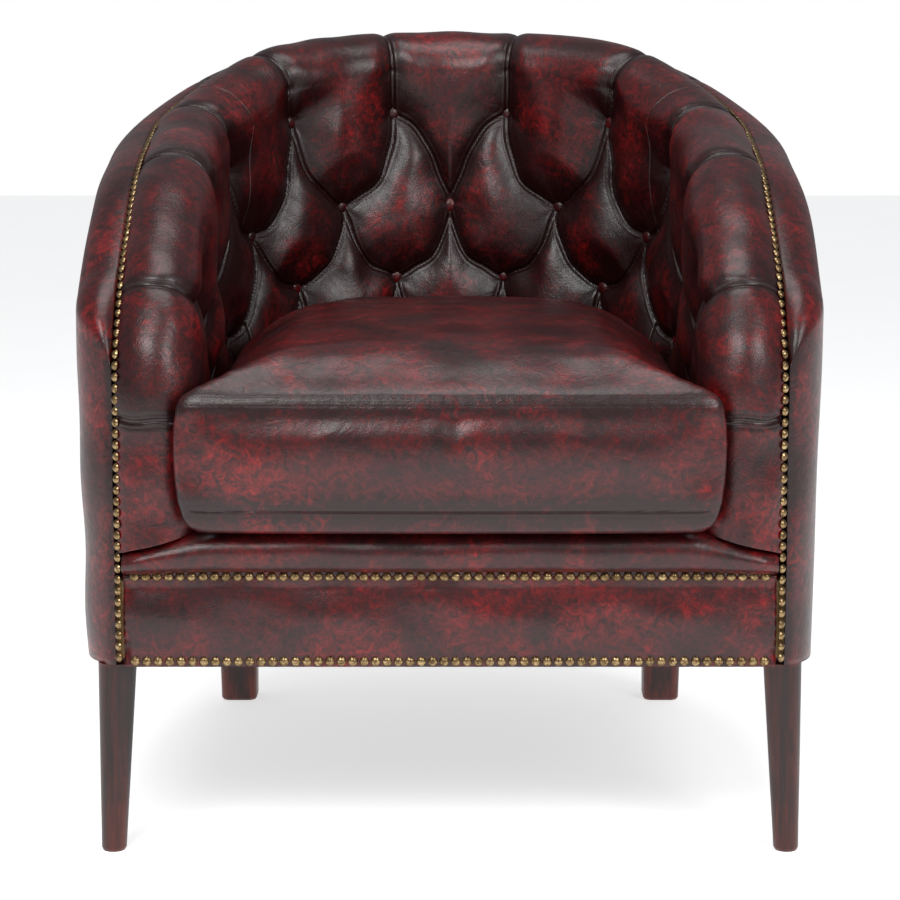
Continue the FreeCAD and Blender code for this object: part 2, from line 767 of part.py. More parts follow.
def make_springs():
    """Zigzag springs from the front rail to the back rail, held down by clips."""
    z = rail_top + spring_wire + fit
    springs, clips = [], []
    ring = half_width - (rail_outer + rail_inner) / 2
    gap = spring_wire + fit
    half = clip_length / 2
    for x in spring_columns:
        y0 = front_y + front_gap + front_rail_thick / 2
        y1 = centre_y + math.sqrt(ring ** 2 - x ** 2)
        springs.append(make_spring(x, y0, y1, z))
        for y in (y0, y1):
            body = box(x - half, x + half, y - clip_half, y + clip_half, rail_top, clip_top)
            room = box(x - clip_length, x + clip_length, y - gap, y + gap, rail_top - overlap, z + gap)
            clips.append(body.cut(room))
    return {"seat_springs": Part.makeCompound(springs), "spring_clips": Part.makeCompound(clips)}


def tub_plate(inset, front_back, z0, z1):
    """Flat plate with the plan of the tub, inset from the outer leather."""
    radius = half_width - inset
    y = front_y + front_back
    left, right = Vec(-radius, centre_y, z0), Vec(radius, centre_y, z0)
    knee = radius * diagonal
    edges = [arc(left, Vec(-knee, centre_y + knee, z0), Vec(0, centre_y + radius, z0)),
             arc(Vec(0, centre_y + radius, z0), Vec(knee, centre_y + knee, z0), right),
             line(right, Vec(radius, y, z0)), line(Vec(radius, y, z0), Vec(-radius, y, z0)),
             line(Vec(-radius, y, z0), left)]
    return Part.Face(Part.Wire(edges)).extrude(Vec(0, 0, z1 - z0))


def make_deck():
    """Seat deck on the springs, with its cloth."""
    back = front_gap + front_rail_thick + fit
    room = post_depth + front_gap + fit
    pad = tub_plate(rail_inner + web_room, back, clip_top + fit, deck_top)
    beside = box(half_width - post_inner - fit, half_width, front_y, front_y + room, rail_top,
                 crest_height)
    pad = pad.cut([beside, mirrored(beside)])
    cloth = tub_plate(pad_crest + leather, back, deck_top + fit, deck_top + fit + deck_cloth)
    return {"deck_pad": pad, "deck_cloth": cloth}


def make_dust_cover():
    """Black cloth tacked under the frame, cut away round the legs."""
    top = rail_bottom - fit
    cloth = tub_plate(dust_inset, dust_front, top - dust_thick, top)
    corner = box(corner_x + dust_room, half_width, front_y, front_y + 2 * front_leg_top[1] + dust_room,
                 top - 2 * dust_thick, top + overlap)
    tools = [corner, mirrored(corner)]
    front_leg, back_leg = leg_places()
    for leg, reach in ((front_leg, front_leg_radii[0]), (back_leg, back_leg_sides[0] * diagonal)):
        for sign in (-1, 1):
            low = Vec(sign * leg.x, leg.y, top - 2 * dust_thick)
            tools.append(rod(low, low + Vec(0, 0, 4 * dust_thick), reach + dust_room))
    return {"dust_cover": cloth.cut(tools)}


def make_corner_blocks():
    """Glued three-cornered blocks behind the front rail."""
    rail_back = front_y + front_gap + front_rail_thick
    low = rail_bottom + block_drop
    corner = [Vec(foot_x, rail_back, low), Vec(foot_x - block_side, rail_back, low),
              Vec(foot_x, rail_back + block_side, low)]
    block = extrude(corner, rail_height - 2 * block_drop)
    return {"corner_blocks": Part.makeCompound([block, mirrored(block)])}


def rounded_square(place, side, corner):
    """Square wire with rounded corners, flat at one height."""
    h, r = side / 2, corner
    k = r * (1 - diagonal)
    x, y, z = place.x, place.y, place.z
    signs = ((1, 1), (-1, 1), (-1, -1), (1, -1))
    arcs = []
    for sx, sy in signs:
        first = Vec(x + sx * h, y + sy * (h - r), z)
        last = Vec(x + sx * (h - r), y + sy * h, z)
        middle = Vec(x + sx * (h - k), y + sy * (h - k), z)
        arcs.append((first, middle, last) if sx * sy > 0 else (last, middle, first))
    edges = []
    for i in range(4):
        a, nxt = arcs[i], arcs[(i + 1) % 4]
        edges += [arc(*a), line(a[2], nxt[0])]
    return Part.Wire(edges)


def make_leg(section, place, foot, radius):
    """Tapered leg through (size, height) sections, with a tenon and the hole of its bolt."""
    top_z = leather_bottom - fit

    def along(z):
        return foot + (place - foot) * (z / rail_bottom)
    wires = [section(along(z), step) for step, z in enumerate((0, foot_chamfer, top_z))]
    tenon = rod(Vec(place.x, place.y, top_z - overlap), Vec(place.x, place.y, rail_bottom), radius)
    return loft(wires, True).fuse(tenon).cut(bolt_hole(place))


def make_legs():
    """Turned front legs and raked square back legs, each with a hanger bolt."""
    front_leg, back_leg = leg_places()
    top_r, foot_r = front_leg_radii
    radii = (foot_r - foot_chamfer / 2, foot_r, top_r)
    top_side, foot_side = back_leg_sides
    sides = (foot_side - foot_chamfer, foot_side, top_side)

    def round_section(place, step):
        return Part.Wire(Part.makeCircle(radii[step], place))

    def square_section(place, step):
        return rounded_square(place, sides[step], back_leg_corner)
    foot = Vec(front_leg_foot[0], front_y + front_leg_foot[1], 0)
    heel = Vec(back_leg.x + heel_out, back_leg.y + back_leg_rake, 0)
    front = make_leg(round_section, front_leg, foot, tenon_radii[0])
    back = make_leg(square_section, back_leg, heel, tenon_radii[1])
    bolts = []
    for leg in (front_leg, back_leg):
        bolt = rod(Vec(leg.x, leg.y, rail_bottom - bolt_down), Vec(leg.x, leg.y, rail_bottom + bolt_up),
                   bolt_radius)
        bolts += [bolt, mirrored(bolt)]
    return {"front_leg_left": front, "front_leg_right": mirrored(front),
            "back_leg_left": back, "back_leg_right": mirrored(back),
            "leg_bolts": Part.makeCompound(bolts)}


def cushion_outline(inset, shrink, z):
    """Plan of the loose cushion: round back, straight sides, a wing before each arm."""
    half = cushion_half - inset - shrink
    back_y = centre_y - cushion_back_shift
    face = front_y - cushion_proud + inset
    front = face + shrink
    wing_y = max(front_y - (roll_radius - roll_low) - wing_gap, face + wing_depth) - shrink
    wing = max(cushion_wing * (1 - inset / wing_taper), wing_least)
    soft = min(corner_soft, (wing_y - front) / 2)
    knee = half * diagonal
    reach = half + wing
    edge = reach - band_inset

    def at(x, y):
        return Vec(x, y, z)
    side = [arc(at(0, back_y + half), at(knee, back_y + knee), at(half, back_y)),
            line(at(half, back_y), at(half, wing_y + wing_step)),
            line(at(half, wing_y + wing_step), at(edge, wing_y)),
            arc(at(edge, wing_y), at(reach, (wing_y + front + soft) / 2), at(edge, front + soft)),
            arc(at(edge, front + soft), at(reach - soft / 3, front + soft / 3), at(reach - soft, front))]
    edges = [arc(at(reach - soft, front), at(0, front - front_bow), at(soft - reach, front))]
    edges += side + [mirrored(one) for one in side]
    return Part.Wire(Part.__sortEdges__(edges))


def cushion_stack(levels, shrink):
    """Slab lofted through (height, inset) levels, shrunk inwards for what lies inside."""
    return loft([cushion_outline(inset, shrink, z) for z, inset in levels], True)


def cushion_levels(skin):
    """Heights and insets of the underside, the border and the crown, for a depth under the hide."""
    low = [(cushion_bottom + rise + skin, inset) for rise, inset in cushion_foot]
    low.append((seam_low, seam_inset))
    middle = (seam_low + seam_high) / 2
    band = [(seam_low, seam_inset), (middle - band_rise, band_inset), (middle + band_rise, band_inset),
            (seam_high, seam_inset)]
    crown = [(seam_high + rise - skin, inset) for rise, inset in cushion_crown]
    return low, band, [(seam_high, seam_inset)] + crown


def make_cushion():
    """Loose seat cushion: three panels of hide sewn round a crowned foam."""
    panels = []
    for outer, inner in zip(cushion_levels(0), cushion_levels(leather)):
        panels.append(cushion_stack(outer, 0).cut(cushion_stack(inner, leather)))
    skin = leather + cushion_room
    low, band, crown = [cushion_stack(levels, skin) for levels in cushion_levels(skin)]
    return {"cushion_bottom_panel": panels[0], "cushion_border": panels[1],
            "cushion_top_panel": panels[2], "cushion_foam": low.fuse([band, crown]).removeSplitter()}


def main():
    os.makedirs(OUT, exist_ok=True)
    parts = {}
    for group in (make_outside_covers, make_roll, make_inside_wall, make_buttons, make_front_leather,
                  make_seat_frame, make_stiles, make_webbing, make_springs, make_deck, make_dust_cover,
                  make_corner_blocks, make_legs, make_cushion, make_nails):
        parts.update(group())
    for name, shape in sorted(parts.items()):
        shape.exportStep(os.path.join(OUT, name + ".step"))
        size = shape.BoundBox
        print("%-26s solids %3d  volume %9.0f  x %6.1f %6.1f  y %6.1f %6.1f  z %6.1f %6.1f  valid %s" % (
            name, len(shape.Solids), shape.Volume, size.XMin, size.XMax, size.YMin, size.YMax,
            size.ZMin, size.ZMax, shape.isValid()))


main()
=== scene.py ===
# %% [markdown]
# # A chesterfield tub armchair
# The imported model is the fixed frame. The nails, the legs and everything inside stay as they are
# and get a finish. The leather is modelled here over the same sizes, in millimetres, because a hide
# that is pulled into pleats over soft filling can't be drawn as plain solids.

# %% Start
import math
import bmesh
import bpy
import numpy as np
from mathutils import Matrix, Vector, kdtree


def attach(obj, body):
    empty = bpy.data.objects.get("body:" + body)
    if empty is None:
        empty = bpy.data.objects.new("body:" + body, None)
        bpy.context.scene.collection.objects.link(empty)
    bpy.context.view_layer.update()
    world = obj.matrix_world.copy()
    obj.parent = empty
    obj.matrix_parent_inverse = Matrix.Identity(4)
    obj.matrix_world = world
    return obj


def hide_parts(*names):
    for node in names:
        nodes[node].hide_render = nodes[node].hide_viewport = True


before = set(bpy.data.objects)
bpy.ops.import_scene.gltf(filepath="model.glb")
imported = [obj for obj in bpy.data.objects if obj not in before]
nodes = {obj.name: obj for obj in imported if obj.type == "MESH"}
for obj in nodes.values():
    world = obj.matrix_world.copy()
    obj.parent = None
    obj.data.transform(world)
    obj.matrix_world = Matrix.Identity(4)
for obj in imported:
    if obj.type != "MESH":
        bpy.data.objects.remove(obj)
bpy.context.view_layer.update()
MM = 0.001
print("frame nodes", len(nodes))

# %% [markdown]
# ## Sizes
# The tub is drawn by its outer leather. An inset is a distance inwards from it, a run is a distance
# round the roll from the middle of the back, and a depth is a distance under the nail line.

# %% Sizes
HALF_WIDTH = 367.0
SIDE_DEPTH = 350.0
CENTRE_Y = 15.0
NAIL_INSET = 47.0
NAIL_RECESS = 4.0
ROLL_INSET = 82.0
ROLL_RADIUS = 46.0
CORNER_RADIUS = 80.0
CREST = 777.0
RIM_BACK = ((21.0, 4.0), (44.0, 17.0), (68.0, 59.0))
RIM_ARM = ((331.0, 96.0), (191.0, 133.0), (121.0, 174.0), (57.0, 221.0), (15.0, 272.0))
CORNER_DROP = 327.0
WALL_BOTTOM = 322.5
LEATHER_BOTTOM = 187.0
BOTTOM_LEAN = 9.0
SHOULDER_DROP = 38.0
LIP_NAILS = 276.0
LIP_TOP = 321.0
RAKE = 0.08
PITCH = 146.0
ROWS = (80.0, 186.0, 270.0, 352.0)
ROW_RISE = 0.047
HIDE = 2.4
STEP = 2.5
FRONT_Y = CENTRE_Y - SIDE_DEPTH
ROLL_RUN = HALF_WIDTH - ROLL_INSET
ARC_RUN = ROLL_RUN * math.pi / 2
FRONT_RUN = ARC_RUN + SIDE_DEPTH
ROLL_LOW = math.sqrt(ROLL_RADIUS ** 2 - (ROLL_INSET - NAIL_INSET) ** 2)
NAIL_TURN = math.atan2(ROLL_LOW, NAIL_INSET - ROLL_INSET)
ROLL_GIRTH = ROLL_RADIUS * NAIL_TURN
WALL_SEAM = 4.5 * PITCH / 2


# %% [markdown]
# ## The line of the rim
# One smooth spline through a few measured heights carries everything: the nails, the roll and the
# tops of the walls. Drawn flat it is the run across and the height up, so the same line can be
# wrapped round the back and along both arms.

# %% Rim line
def spline(points, first, last, count):
    """Smooth line through points with set end directions, as evenly read places."""
    p = np.array(points, float)
    gap = np.linalg.norm(np.diff(p, axis=0), axis=1)
    size = len(p)
    lhs, rhs = np.eye(size), np.zeros((size, 2))
    rhs[0], rhs[-1] = first, last
    for i in range(1, size - 1):
        lhs[i, i - 1:i + 2] = (1 / gap[i - 1], 2 / gap[i - 1] + 2 / gap[i], 1 / gap[i])
        rhs[i] = 3 * ((p[i] - p[i - 1]) / gap[i - 1] ** 2 + (p[i + 1] - p[i]) / gap[i] ** 2)
    slope = np.linalg.solve(lhs, rhs)
    places = [p[:1]]
    for i in range(size - 1):
        t = (np.arange(1, count + 1) / count)[:, None]
        a, b = slope[i] * gap[i], slope[i + 1] * gap[i]
        places.append(p[i] * (1 + 2 * t) * (1 - t) ** 2 + a * t * (1 - t) ** 2
                      + p[i + 1] * t ** 2 * (3 - 2 * t) + b * t ** 2 * (t - 1))
    return np.concatenate(places)


def rim_table():
    """The rim as distances from the middle of the back, places and directions."""
    points = [(0, CREST)]
    points += [(math.radians(turn) * ROLL_RUN, CREST - drop) for turn, drop in RIM_BACK]
    points += [(FRONT_RUN - before, CREST - drop) for before, drop in RIM_ARM]
    points += [(FRONT_RUN, CREST - CORNER_DROP)]
    line = spline(points, (1, 0), (0, -1), 200)
    way = np.gradient(line, axis=0)
    way /= np.linalg.norm(way, axis=1)[:, None]
    far = np.concatenate([[0], np.cumsum(np.linalg.norm(np.diff(line, axis=0), axis=1))])
    tail = np.array([[FRONT_RUN, CREST - CORNER_DROP - 300]])
    line, way = np.concatenate([line, tail]), np.concatenate([way, [[0, -1]]])
    return np.concatenate([far, [far[-1] + 300]]), line, way


FAR, LINE, WAY = rim_table()
RIM_LENGTH = FAR[-1] - 300


def rim_at(distance):
    """Run, height and direction of the rim after a distance from the middle of the back."""
    size = np.abs(distance)
    return (np.interp(size, FAR, LINE[:, 0]), np.interp(size, FAR, LINE[:, 1]),
            np.interp(size, FAR, WAY[:, 0]), np.interp(size, FAR, WAY[:, 1]))


def rim_height(run):
    """Height of the nail line over a run."""
    return np.interp(np.abs(run), LINE[:-1, 0], LINE[:-1, 1])


def on_plan(run, inset):
    """Plan place at a run and an inset, with the direction onwards."""
    side = np.where(run < 0, -1.0, 1.0)
    turn = np.minimum(np.abs(run) / ROLL_RUN, math.pi / 2)
    past = np.maximum(np.abs(run) - ARC_RUN, 0)
    x = side * np.sin(turn) * (HALF_WIDTH - inset)
    y = CENTRE_Y + np.cos(turn) * (HALF_WIDTH - inset) - past
    return x, y, side * np.cos(turn), -np.sin(turn)


def in_roll(distance, inset, depth):
    """Place in the plane across the rim, at an inset and a depth inside the nail line."""
    run, z, along, fall = rim_at(distance)
    side = np.where(distance < 0, -1.0, 1.0)
    x, y, way_x, way_y = on_plan(side * run, inset)
    return np.stack([x + way_x * fall * depth, y + way_y * fall * depth,
                     z - along * depth + 0 * x], -1)


print("rim", round(RIM_LENGTH, 1), "mm, roll girth", round(ROLL_GIRTH, 1), "mm")


# %% [markdown]
# ## Sheets of hide
# A hide starts as a bmesh grid whose points are then moved to their places. Two values ride on
# every point for the finish: how near a fold is, and how deep the hide is pulled in there. The
# leather is darkened by both, as painted shade in the folds and hollows.

# %% Sheet helpers
def ripple(a, b, size, seed):
    """Soft unevenness about one unit high, from a few waves in set random directions."""
    draw = np.random.default_rng(seed)
    total = 0.0
    for _ in range(7):
        turn, phase, share = draw.uniform(0, 6.28), draw.uniform(0, 6.28), draw.uniform(0.6, 1.6)
        wave = 2 * math.pi * share / size
        total = total + np.sin(wave * (a * math.cos(turn) + b * math.sin(turn)) + phase)
    return total / 2.6


def sheet_mesh(bm, places, behind, near=None, deep=None):
    """Adds a grid of points to bm, facing away from the places behind it."""
    columns, rows = places.shape[0] - 1, places.shape[1] - 1
    piece = bmesh.new()
    bmesh.ops.create_grid(piece, x_segments=columns, y_segments=rows, size=1.0)
    stores = [piece.verts.layers.float.new(name) for name in ("near", "deep")]
    blank = np.zeros((columns + 1, rows + 1))
    values = [blank if v is None else v for v in (near, deep)]
    for vert in piece.verts:
        i = round((vert.co.x + 1) / 2 * columns)
        j = round((vert.co.y + 1) / 2 * rows)
        for store, value in zip(stores, values):
            vert[store] = value[i, j]
        vert.co = places[i, j] * MM
    piece.normal_update()
    i, j = columns // 2, rows // 2
    here = Vector(places[i, j] * MM)
    face = min(piece.faces, key=lambda f: (f.calc_center_median() - here).length)
    if face.normal.dot(Vector(places[i, j] - behind[i, j])) < 0:
        bmesh.ops.reverse_faces(piece, faces=piece.faces[:])
    mesh = bpy.data.meshes.new("part")
    piece.to_mesh(mesh)
    piece.free()
    bm.from_mesh(mesh)
    bpy.data.meshes.remove(mesh)


def finish_piece(bm, name, finish, thick=0.0, body="root", weld=0.02):
    """Welds, shades and names a piece, and gives it its thickness and its finish."""
    bmesh.ops.remove_doubles(bm, verts=bm.verts[:], dist=weld * MM)
    for face in bm.faces:
        face.smooth = True
    mesh = bpy.data.meshes.new(name)
    bm.to_mesh(mesh)
    bm.free()
    piece = bpy.data.objects.new(name, mesh)
    bpy.context.scene.collection.objects.link(piece)
    mesh.materials.append(finish)
    if thick:
        solid = piece.modifiers.new("thickness", "SOLIDIFY")
        solid.thickness = thick * MM
        solid.offset = -1.0
        solid.use_rim = True
    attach(piece, body)
    print(name, "faces", len(mesh.polygons))
    return piece


# %% [markdown]
# ## Finishes
# Every colour is written as it looks on a screen and turned into light once, here. Patterns read
# object coordinates, so their sizes are real: a grain of one millimetre stays one millimetre.

# %% Node helpers
def colour(text):
    """Screen colour to the light values that the shader needs."""
    parts = [int(text[i:i + 2], 16) / 255 for i in (1, 3, 5)]
    return tuple(c / 12.92 if c <= 0.04045 else ((c + 0.055) / 1.055) ** 2.4 for c in parts) + (1.0,)


def new_material(name):
    """A named material with its node tree and its main shader."""
    material = bpy.data.materials.new(name)
    material.use_nodes = True
    tree = material.node_tree
    return material, tree, tree.nodes["Principled BSDF"]


def add(tree, kind, inputs=None, **settings):
    """One node with its settings. An input is a number, or the output that feeds it."""
    node = tree.nodes.new(kind)
    for key, value in settings.items():
        setattr(node, key, value)
    for key, value in (inputs or {}).items():
        if isinstance(value, bpy.types.NodeSocket):
            tree.links.new(value, node.inputs[key])
        else:
            node.inputs[key].default_value = value
    return node


def ramp(tree, value, stops):
    """Colours along a value, as (place, screen colour)."""
    node = add(tree, "ShaderNodeValToRGB", {"Fac": value})
    places = node.color_ramp.elements
    for element, (place, text) in zip(places, (stops[0], stops[-1])):
        element.position = place
        element.color = colour(text)
    for place, text in stops[1:-1]:
        places.new(place).color = colour(text)
    return node.outputs["Color"]


def scale_map(tree, value, low, high, out_low, out_high):
    node = add(tree, "ShaderNodeMapRange", {"Value": value, "From Min": low, "From Max": high,
                                            "To Min": out_low, "To Max": out_high})
    return node.outputs["Result"]


def maths(tree, kind, a, b):
    return add(tree, "ShaderNodeMath", {0: a, 1: b}, operation=kind).outputs[0]


def places_of(tree, stretch=(1, 1, 1)):
    where = add(tree, "ShaderNodeTexCoord").outputs["Object"]
    return add(tree, "ShaderNodeMapping", {"Vector": where, "Scale": stretch}).outputs["Vector"]


def noise_of(tree, where, size_mm, detail=3.0, rough=0.5, twist=0.0):
    """Noise whose features are about size_mm across."""
    return add(tree, "ShaderNodeTexNoise", {"Vector": where, "Scale": 1000 / size_mm, "Detail": detail,
                                            "Roughness": rough, "Distortion": twist}).outputs["Fac"]


def bump(tree, height, depth_mm, strength=1.0, under=None):
    inputs = {"Height": height, "Distance": depth_mm * MM, "Strength": strength}
    if under is not None:
        inputs["Normal"] = under
    return add(tree, "ShaderNodeBump", inputs).outputs["Normal"]


# %% [markdown]
# ## Oxblood leather
# Antiqued hide: a bright red base wiped over with a dark glaze that is rubbed off in soft cloudy
# veins, in two sizes of cloud. Near the folds and where the hide is pulled in deep, the colour is
# darkened further as painted shade, so it follows the folds.
# The grain is fine pebbles about a millimetre across, and the sheen is a broad soft gloss.

# %% Leather
def make_leather():
    """Dark red with brighter clouds and veins, with painted shade nearly black in the folds, softly
    glossy.
    """
    material, tree, shader = new_material("antiqued_oxblood_leather")
    where = places_of(tree)
    near = add(tree, "ShaderNodeAttribute", attribute_name="near").outputs["Fac"]
    deep = add(tree, "ShaderNodeAttribute", attribute_name="deep").outputs["Fac"]
    cloud = noise_of(tree, where, 70, 4, 0.6, 0.6)
    fine = noise_of(tree, where, 13, 6, 0.72, 1.6)
    vein = add(tree, "ShaderNodeTexVoronoi", {"Vector": where, "Scale": 95.0, "Randomness": 1.0},
               feature="DISTANCE_TO_EDGE").outputs["Distance"]
    rub = maths(tree, "MULTIPLY", scale_map(tree, cloud, 0.35, 0.66, 0.0, 1.0),
                scale_map(tree, fine, 0.36, 0.66, 0.0, 1.0))
    rub = maths(tree, "MULTIPLY", rub, 0.85)
    rub = maths(tree, "ADD", rub, scale_map(tree, vein, 0.0, 0.16, 0.10, 0.0))
    # painted shade: the colour darkens near the folds and where the hide is pulled in deep
    dark = maths(tree, "ADD", maths(tree, "MULTIPLY", near, 0.4), maths(tree, "MULTIPLY", deep, 0.28))
    tone = add(tree, "ShaderNodeMath", {0: rub, 1: dark}, operation="SUBTRACT", use_clamp=True)
    skin = ramp(tree, tone.outputs[0], [(0.0, "#200506"), (0.2, "#3c090a"), (0.5, "#5f0d0f"),
                                        (0.95, "#8f1718")])
    tree.links.new(skin, shader.inputs["Base Color"])
    gloss = scale_map(tree, fine, 0.3, 0.7, 0.38, 0.28)
    tree.links.new(gloss, shader.inputs["Roughness"])
    shader.inputs["Specular IOR Level"].default_value = 0.45
    shader.inputs["Coat Weight"].default_value = 0.12
    shader.inputs["Coat Roughness"].default_value = 0.34
    add_leather_relief(tree, shader, where, near)
    return material


def add_leather_relief(tree, shader, where, near):
    """Pebble grain, soft creases, and the two fine ridges that run along each fold."""
    ridge = add(tree, "ShaderNodeValToRGB", {"Fac": near})
    ridge.color_ramp.elements[0].position, ridge.color_ramp.elements[0].color = 0.66, (0.5, 0.5, 0.5, 1)
    ridge.color_ramp.elements[1].position, ridge.color_ramp.elements[1].color = 0.9, (0, 0, 0, 1)
    ridge.color_ramp.elements.new(0.79).color = (0.95, 0.95, 0.95, 1)
    ridge.color_ramp.elements.new(0.85).color = (0.6, 0.6, 0.6, 1)
    folds = bump(tree, ridge.outputs["Color"], 1.6, 0.8)
    crease = bump(tree, noise_of(tree, where, 16, 5, 0.6, 1.2), 1.1, 0.5, folds)
    pebble = add(tree, "ShaderNodeTexVoronoi", {"Vector": where, "Scale": 780.0},
                 feature="SMOOTH_F1").outputs["Distance"]
    grain = bump(tree, pebble, 0.22, 0.55, crease)
    tree.links.new(grain, shader.inputs["Normal"])


leather = make_leather()
print("leather nodes", len(leather.node_tree.nodes))


# %% [markdown]
# ## Other finishes
# Aged brass keeps a brown film in its hollows. The legs are close grained hardwood under a dark
# mahogany stain, with a painted highlight that lightens the edges. What lies inside the chair gets
# the plain look of its real stuff: beech, foam, felt, webbing, black cloth and oiled spring steel.

# %% Brass, wood and the inside
def make_brass():
    """Dull old gold with a brown film, bright only where a head catches the light."""
    material, tree, shader = new_material("aged_brass")
    where = places_of(tree)
    film = noise_of(tree, where, 4, 3, 0.6, 0.5)
    tree.links.new(ramp(tree, film, [(0.3, "#4f3f2b"), (0.5, "#8a7250"), (0.75, "#c4ab80")]),
                   shader.inputs["Base Color"])
    tree.links.new(scale_map(tree, film, 0.3, 0.7, 0.42, 0.26), shader.inputs["Roughness"])
    shader.inputs["Metallic"].default_value = 1.0
    tree.links.new(bump(tree, noise_of(tree, where, 1.5), 0.15, 0.5), shader.inputs["Normal"])
    return material


def make_stained_wood():
    """Red brown with near black streaks up the leg, a painted highlight on its edges, under a thin
    polish.
    """
    material, tree, shader = new_material("mahogany_stained_hardwood")
    along = places_of(tree, (1.0, 1.0, 0.06))
    streak = noise_of(tree, along, 7, 5, 0.7, 0.8)
    pore = noise_of(tree, places_of(tree, (1.0, 1.0, 0.03)), 1.1, 2, 0.6)
    broad = noise_of(tree, along, 22, 2, 0.5)
    streak, broad = maths(tree, "MULTIPLY", streak, 0.62), maths(tree, "MULTIPLY", broad, 0.38)
    tone = maths(tree, "ADD", streak, broad)
    # painted highlight: the colour is lighter where the surface is sharp, on the edges of the leg
    edge = add(tree, "ShaderNodeNewGeometry").outputs["Pointiness"]
    tone = maths(tree, "ADD", tone, scale_map(tree, edge, 0.5, 0.56, 0.0, 0.16))
    stain = ramp(tree, tone, [(0.34, "#0a0302"), (0.46, "#200804"), (0.56, "#3a1008"),
                              (0.74, "#66200e")])
    tree.links.new(stain, shader.inputs["Base Color"])
    tree.links.new(scale_map(tree, pore, 0.35, 0.65, 0.5, 0.36), shader.inputs["Roughness"])
    shader.inputs["Coat Weight"].default_value = 0.1
    shader.inputs["Coat Roughness"].default_value = 0.28
    tree.links.new(bump(tree, pore, 0.18, 0.5), shader.inputs["Normal"])
    return material


def make_plain(name, dark, light, size_mm, rough, depth_mm, stretch=(1, 1, 1), metal=0.0):
    """Two tones of one stuff over a pattern of its own size."""
    material, tree, shader = new_material(name)
    pattern = noise_of(tree, places_of(tree, stretch), size_mm, 4, 0.6, 0.3)
    tree.links.new(ramp(tree, pattern, [(0.3, dark), (0.7, light)]), shader.inputs["Base Color"])
    shader.inputs["Roughness"].default_value = rough
    shader.inputs["Metallic"].default_value = metal
    tree.links.new(bump(tree, pattern, depth_mm, 0.6), shader.inputs["Normal"])
    return material


brass = make_brass()
stained = make_stained_wood()
beech = make_plain("planed_beech", "#9c7748", "#c9a571", 6, 0.6, 0.2, (1, 1, 0.15))
foam = make_plain("cream_foam", "#c9bd93", "#e4dbb8", 1.2, 0.95, 0.4)
felt = make_plain("grey_felt_wadding", "#8d8a84", "#c4c0b8", 2.5, 0.98, 0.6)
webbing = make_plain("jute_webbing", "#6b5433", "#a88a58", 1.8, 0.9, 0.5)
black_cloth = make_plain("black_base_cloth", "#0c0c0d", "#1d1d1f", 0.9, 0.95, 0.15)
steel = make_plain("oiled_spring_steel", "#3b3d40", "#707479", 3.0, 0.35, 0.05, metal=1.0)
# The first word found in a node's name gives its finish. What has none of them is leather.
BY_WORD = (("nails", brass), ("leg_bolts", steel), ("_leg_", stained), ("spring", steel),
           ("webbing", webbing), ("deck_cloth", black_cloth), ("dust", black_cloth),
           ("wadding", felt), ("foam", foam), ("pad", felt), ("rail", beech), ("post", beech),
           ("stile", beech), ("blocks", beech))
for name, node in nodes.items():
    node.data.materials.clear()
    found = [finish for word, finish in BY_WORD if word in name]
    node.data.materials.append(found[0] if found else leather)
print("finishes on", len(nodes), "nodes")


# %% [markdown]
# ## Deep buttoning
# Each button pulls the hide down to the backing. Between buttons the spare hide is folded into a
# pleat, and from the top buttons the pleats run on over the roll to the nails. All of it is planned
# on the hide laid flat, where the roll is rolled out past the wall, so a fold can cross both.

# %% Plan of the folds
BLEND = 0.22
NEAR_MM = 20.0
LINE_MM = 2.0
GROOVE_MM = 2.4
NODE_PULL = 23.0
MIDDLE_PULL = 17.0
PILLOW_REACH = 64.0
PUCKER = 0.9


def button_place(run, row):
    """Place on the flat hide of a button."""
    return np.array([run, float(rim_height(run)) - ROWS[row] + ROW_RISE * min(run, 292.0)])


def flat_roll(distance, across):
    """Place on the flat hide of a point of the roll, across its girth from the wall."""
    run, z, along, fall = rim_at(distance)
    far = across - ROLL_LOW
    return np.stack([run - fall * far, z + along * far], -1)


def curve(start, bend, end, count=14):
    """Bent line on the flat hide that leaves start towards bend."""
    t = np.linspace(0, 1, count)[:, None]
    return start * (1 - t) ** 2 + 2 * bend * t * (1 - t) + end * t ** 2


def wall_fold(upper, lower, swing):
    """Fold from an upper to a lower button. swing 1 leaves the upper one straight down."""
    bend = (upper + lower) / 2
    bend = bend + np.array([upper[0] - bend[0], lower[1] - bend[1]]) * swing
    return curve(upper, bend, lower), (NODE_PULL, MIDDLE_PULL, NODE_PULL), (PILLOW_REACH,) * 3


def plan_folds():
    """Folds between the buttons of one side, and the buttons themselves."""
    folds, buttons = [], []
    for row in range(4):
        first = PITCH / 2 if row % 2 == 0 else 0.0
        for run in np.arange(first, FRONT_RUN - ROLL_LOW - 20, PITCH):
            here = button_place(run, row)
            if run < FRONT_RUN - ROLL_LOW - PITCH / 2:
                buttons.append(here)
            for side in (-1, 1):
                if row == 3 or run + side * PITCH / 2 < 0:
                    continue
                there = button_place(run + side * PITCH / 2, row + 1)
                swing = -0.45 if there[0] < 1 and row == 0 else 0.7
                folds.append(wall_fold(here, there, swing))
            if row == 3:
                foot = here - np.array([0.0, 120.0])
                folds.append((curve(here, (here + foot) / 2, foot), (NODE_PULL, 15, 10), (60, 50, 40)))
    return folds, buttons


# (run of the top button, distance round the rim where the pleat crosses the roll, its kink)
PLEATS = ((73.0, 78.0, 8.0), (219.0, 243.0, 20.0), (365.0, 402.0, 16.0), (511.0, 585.0, 12.0),
          (657.0, 800.0, 10.0))


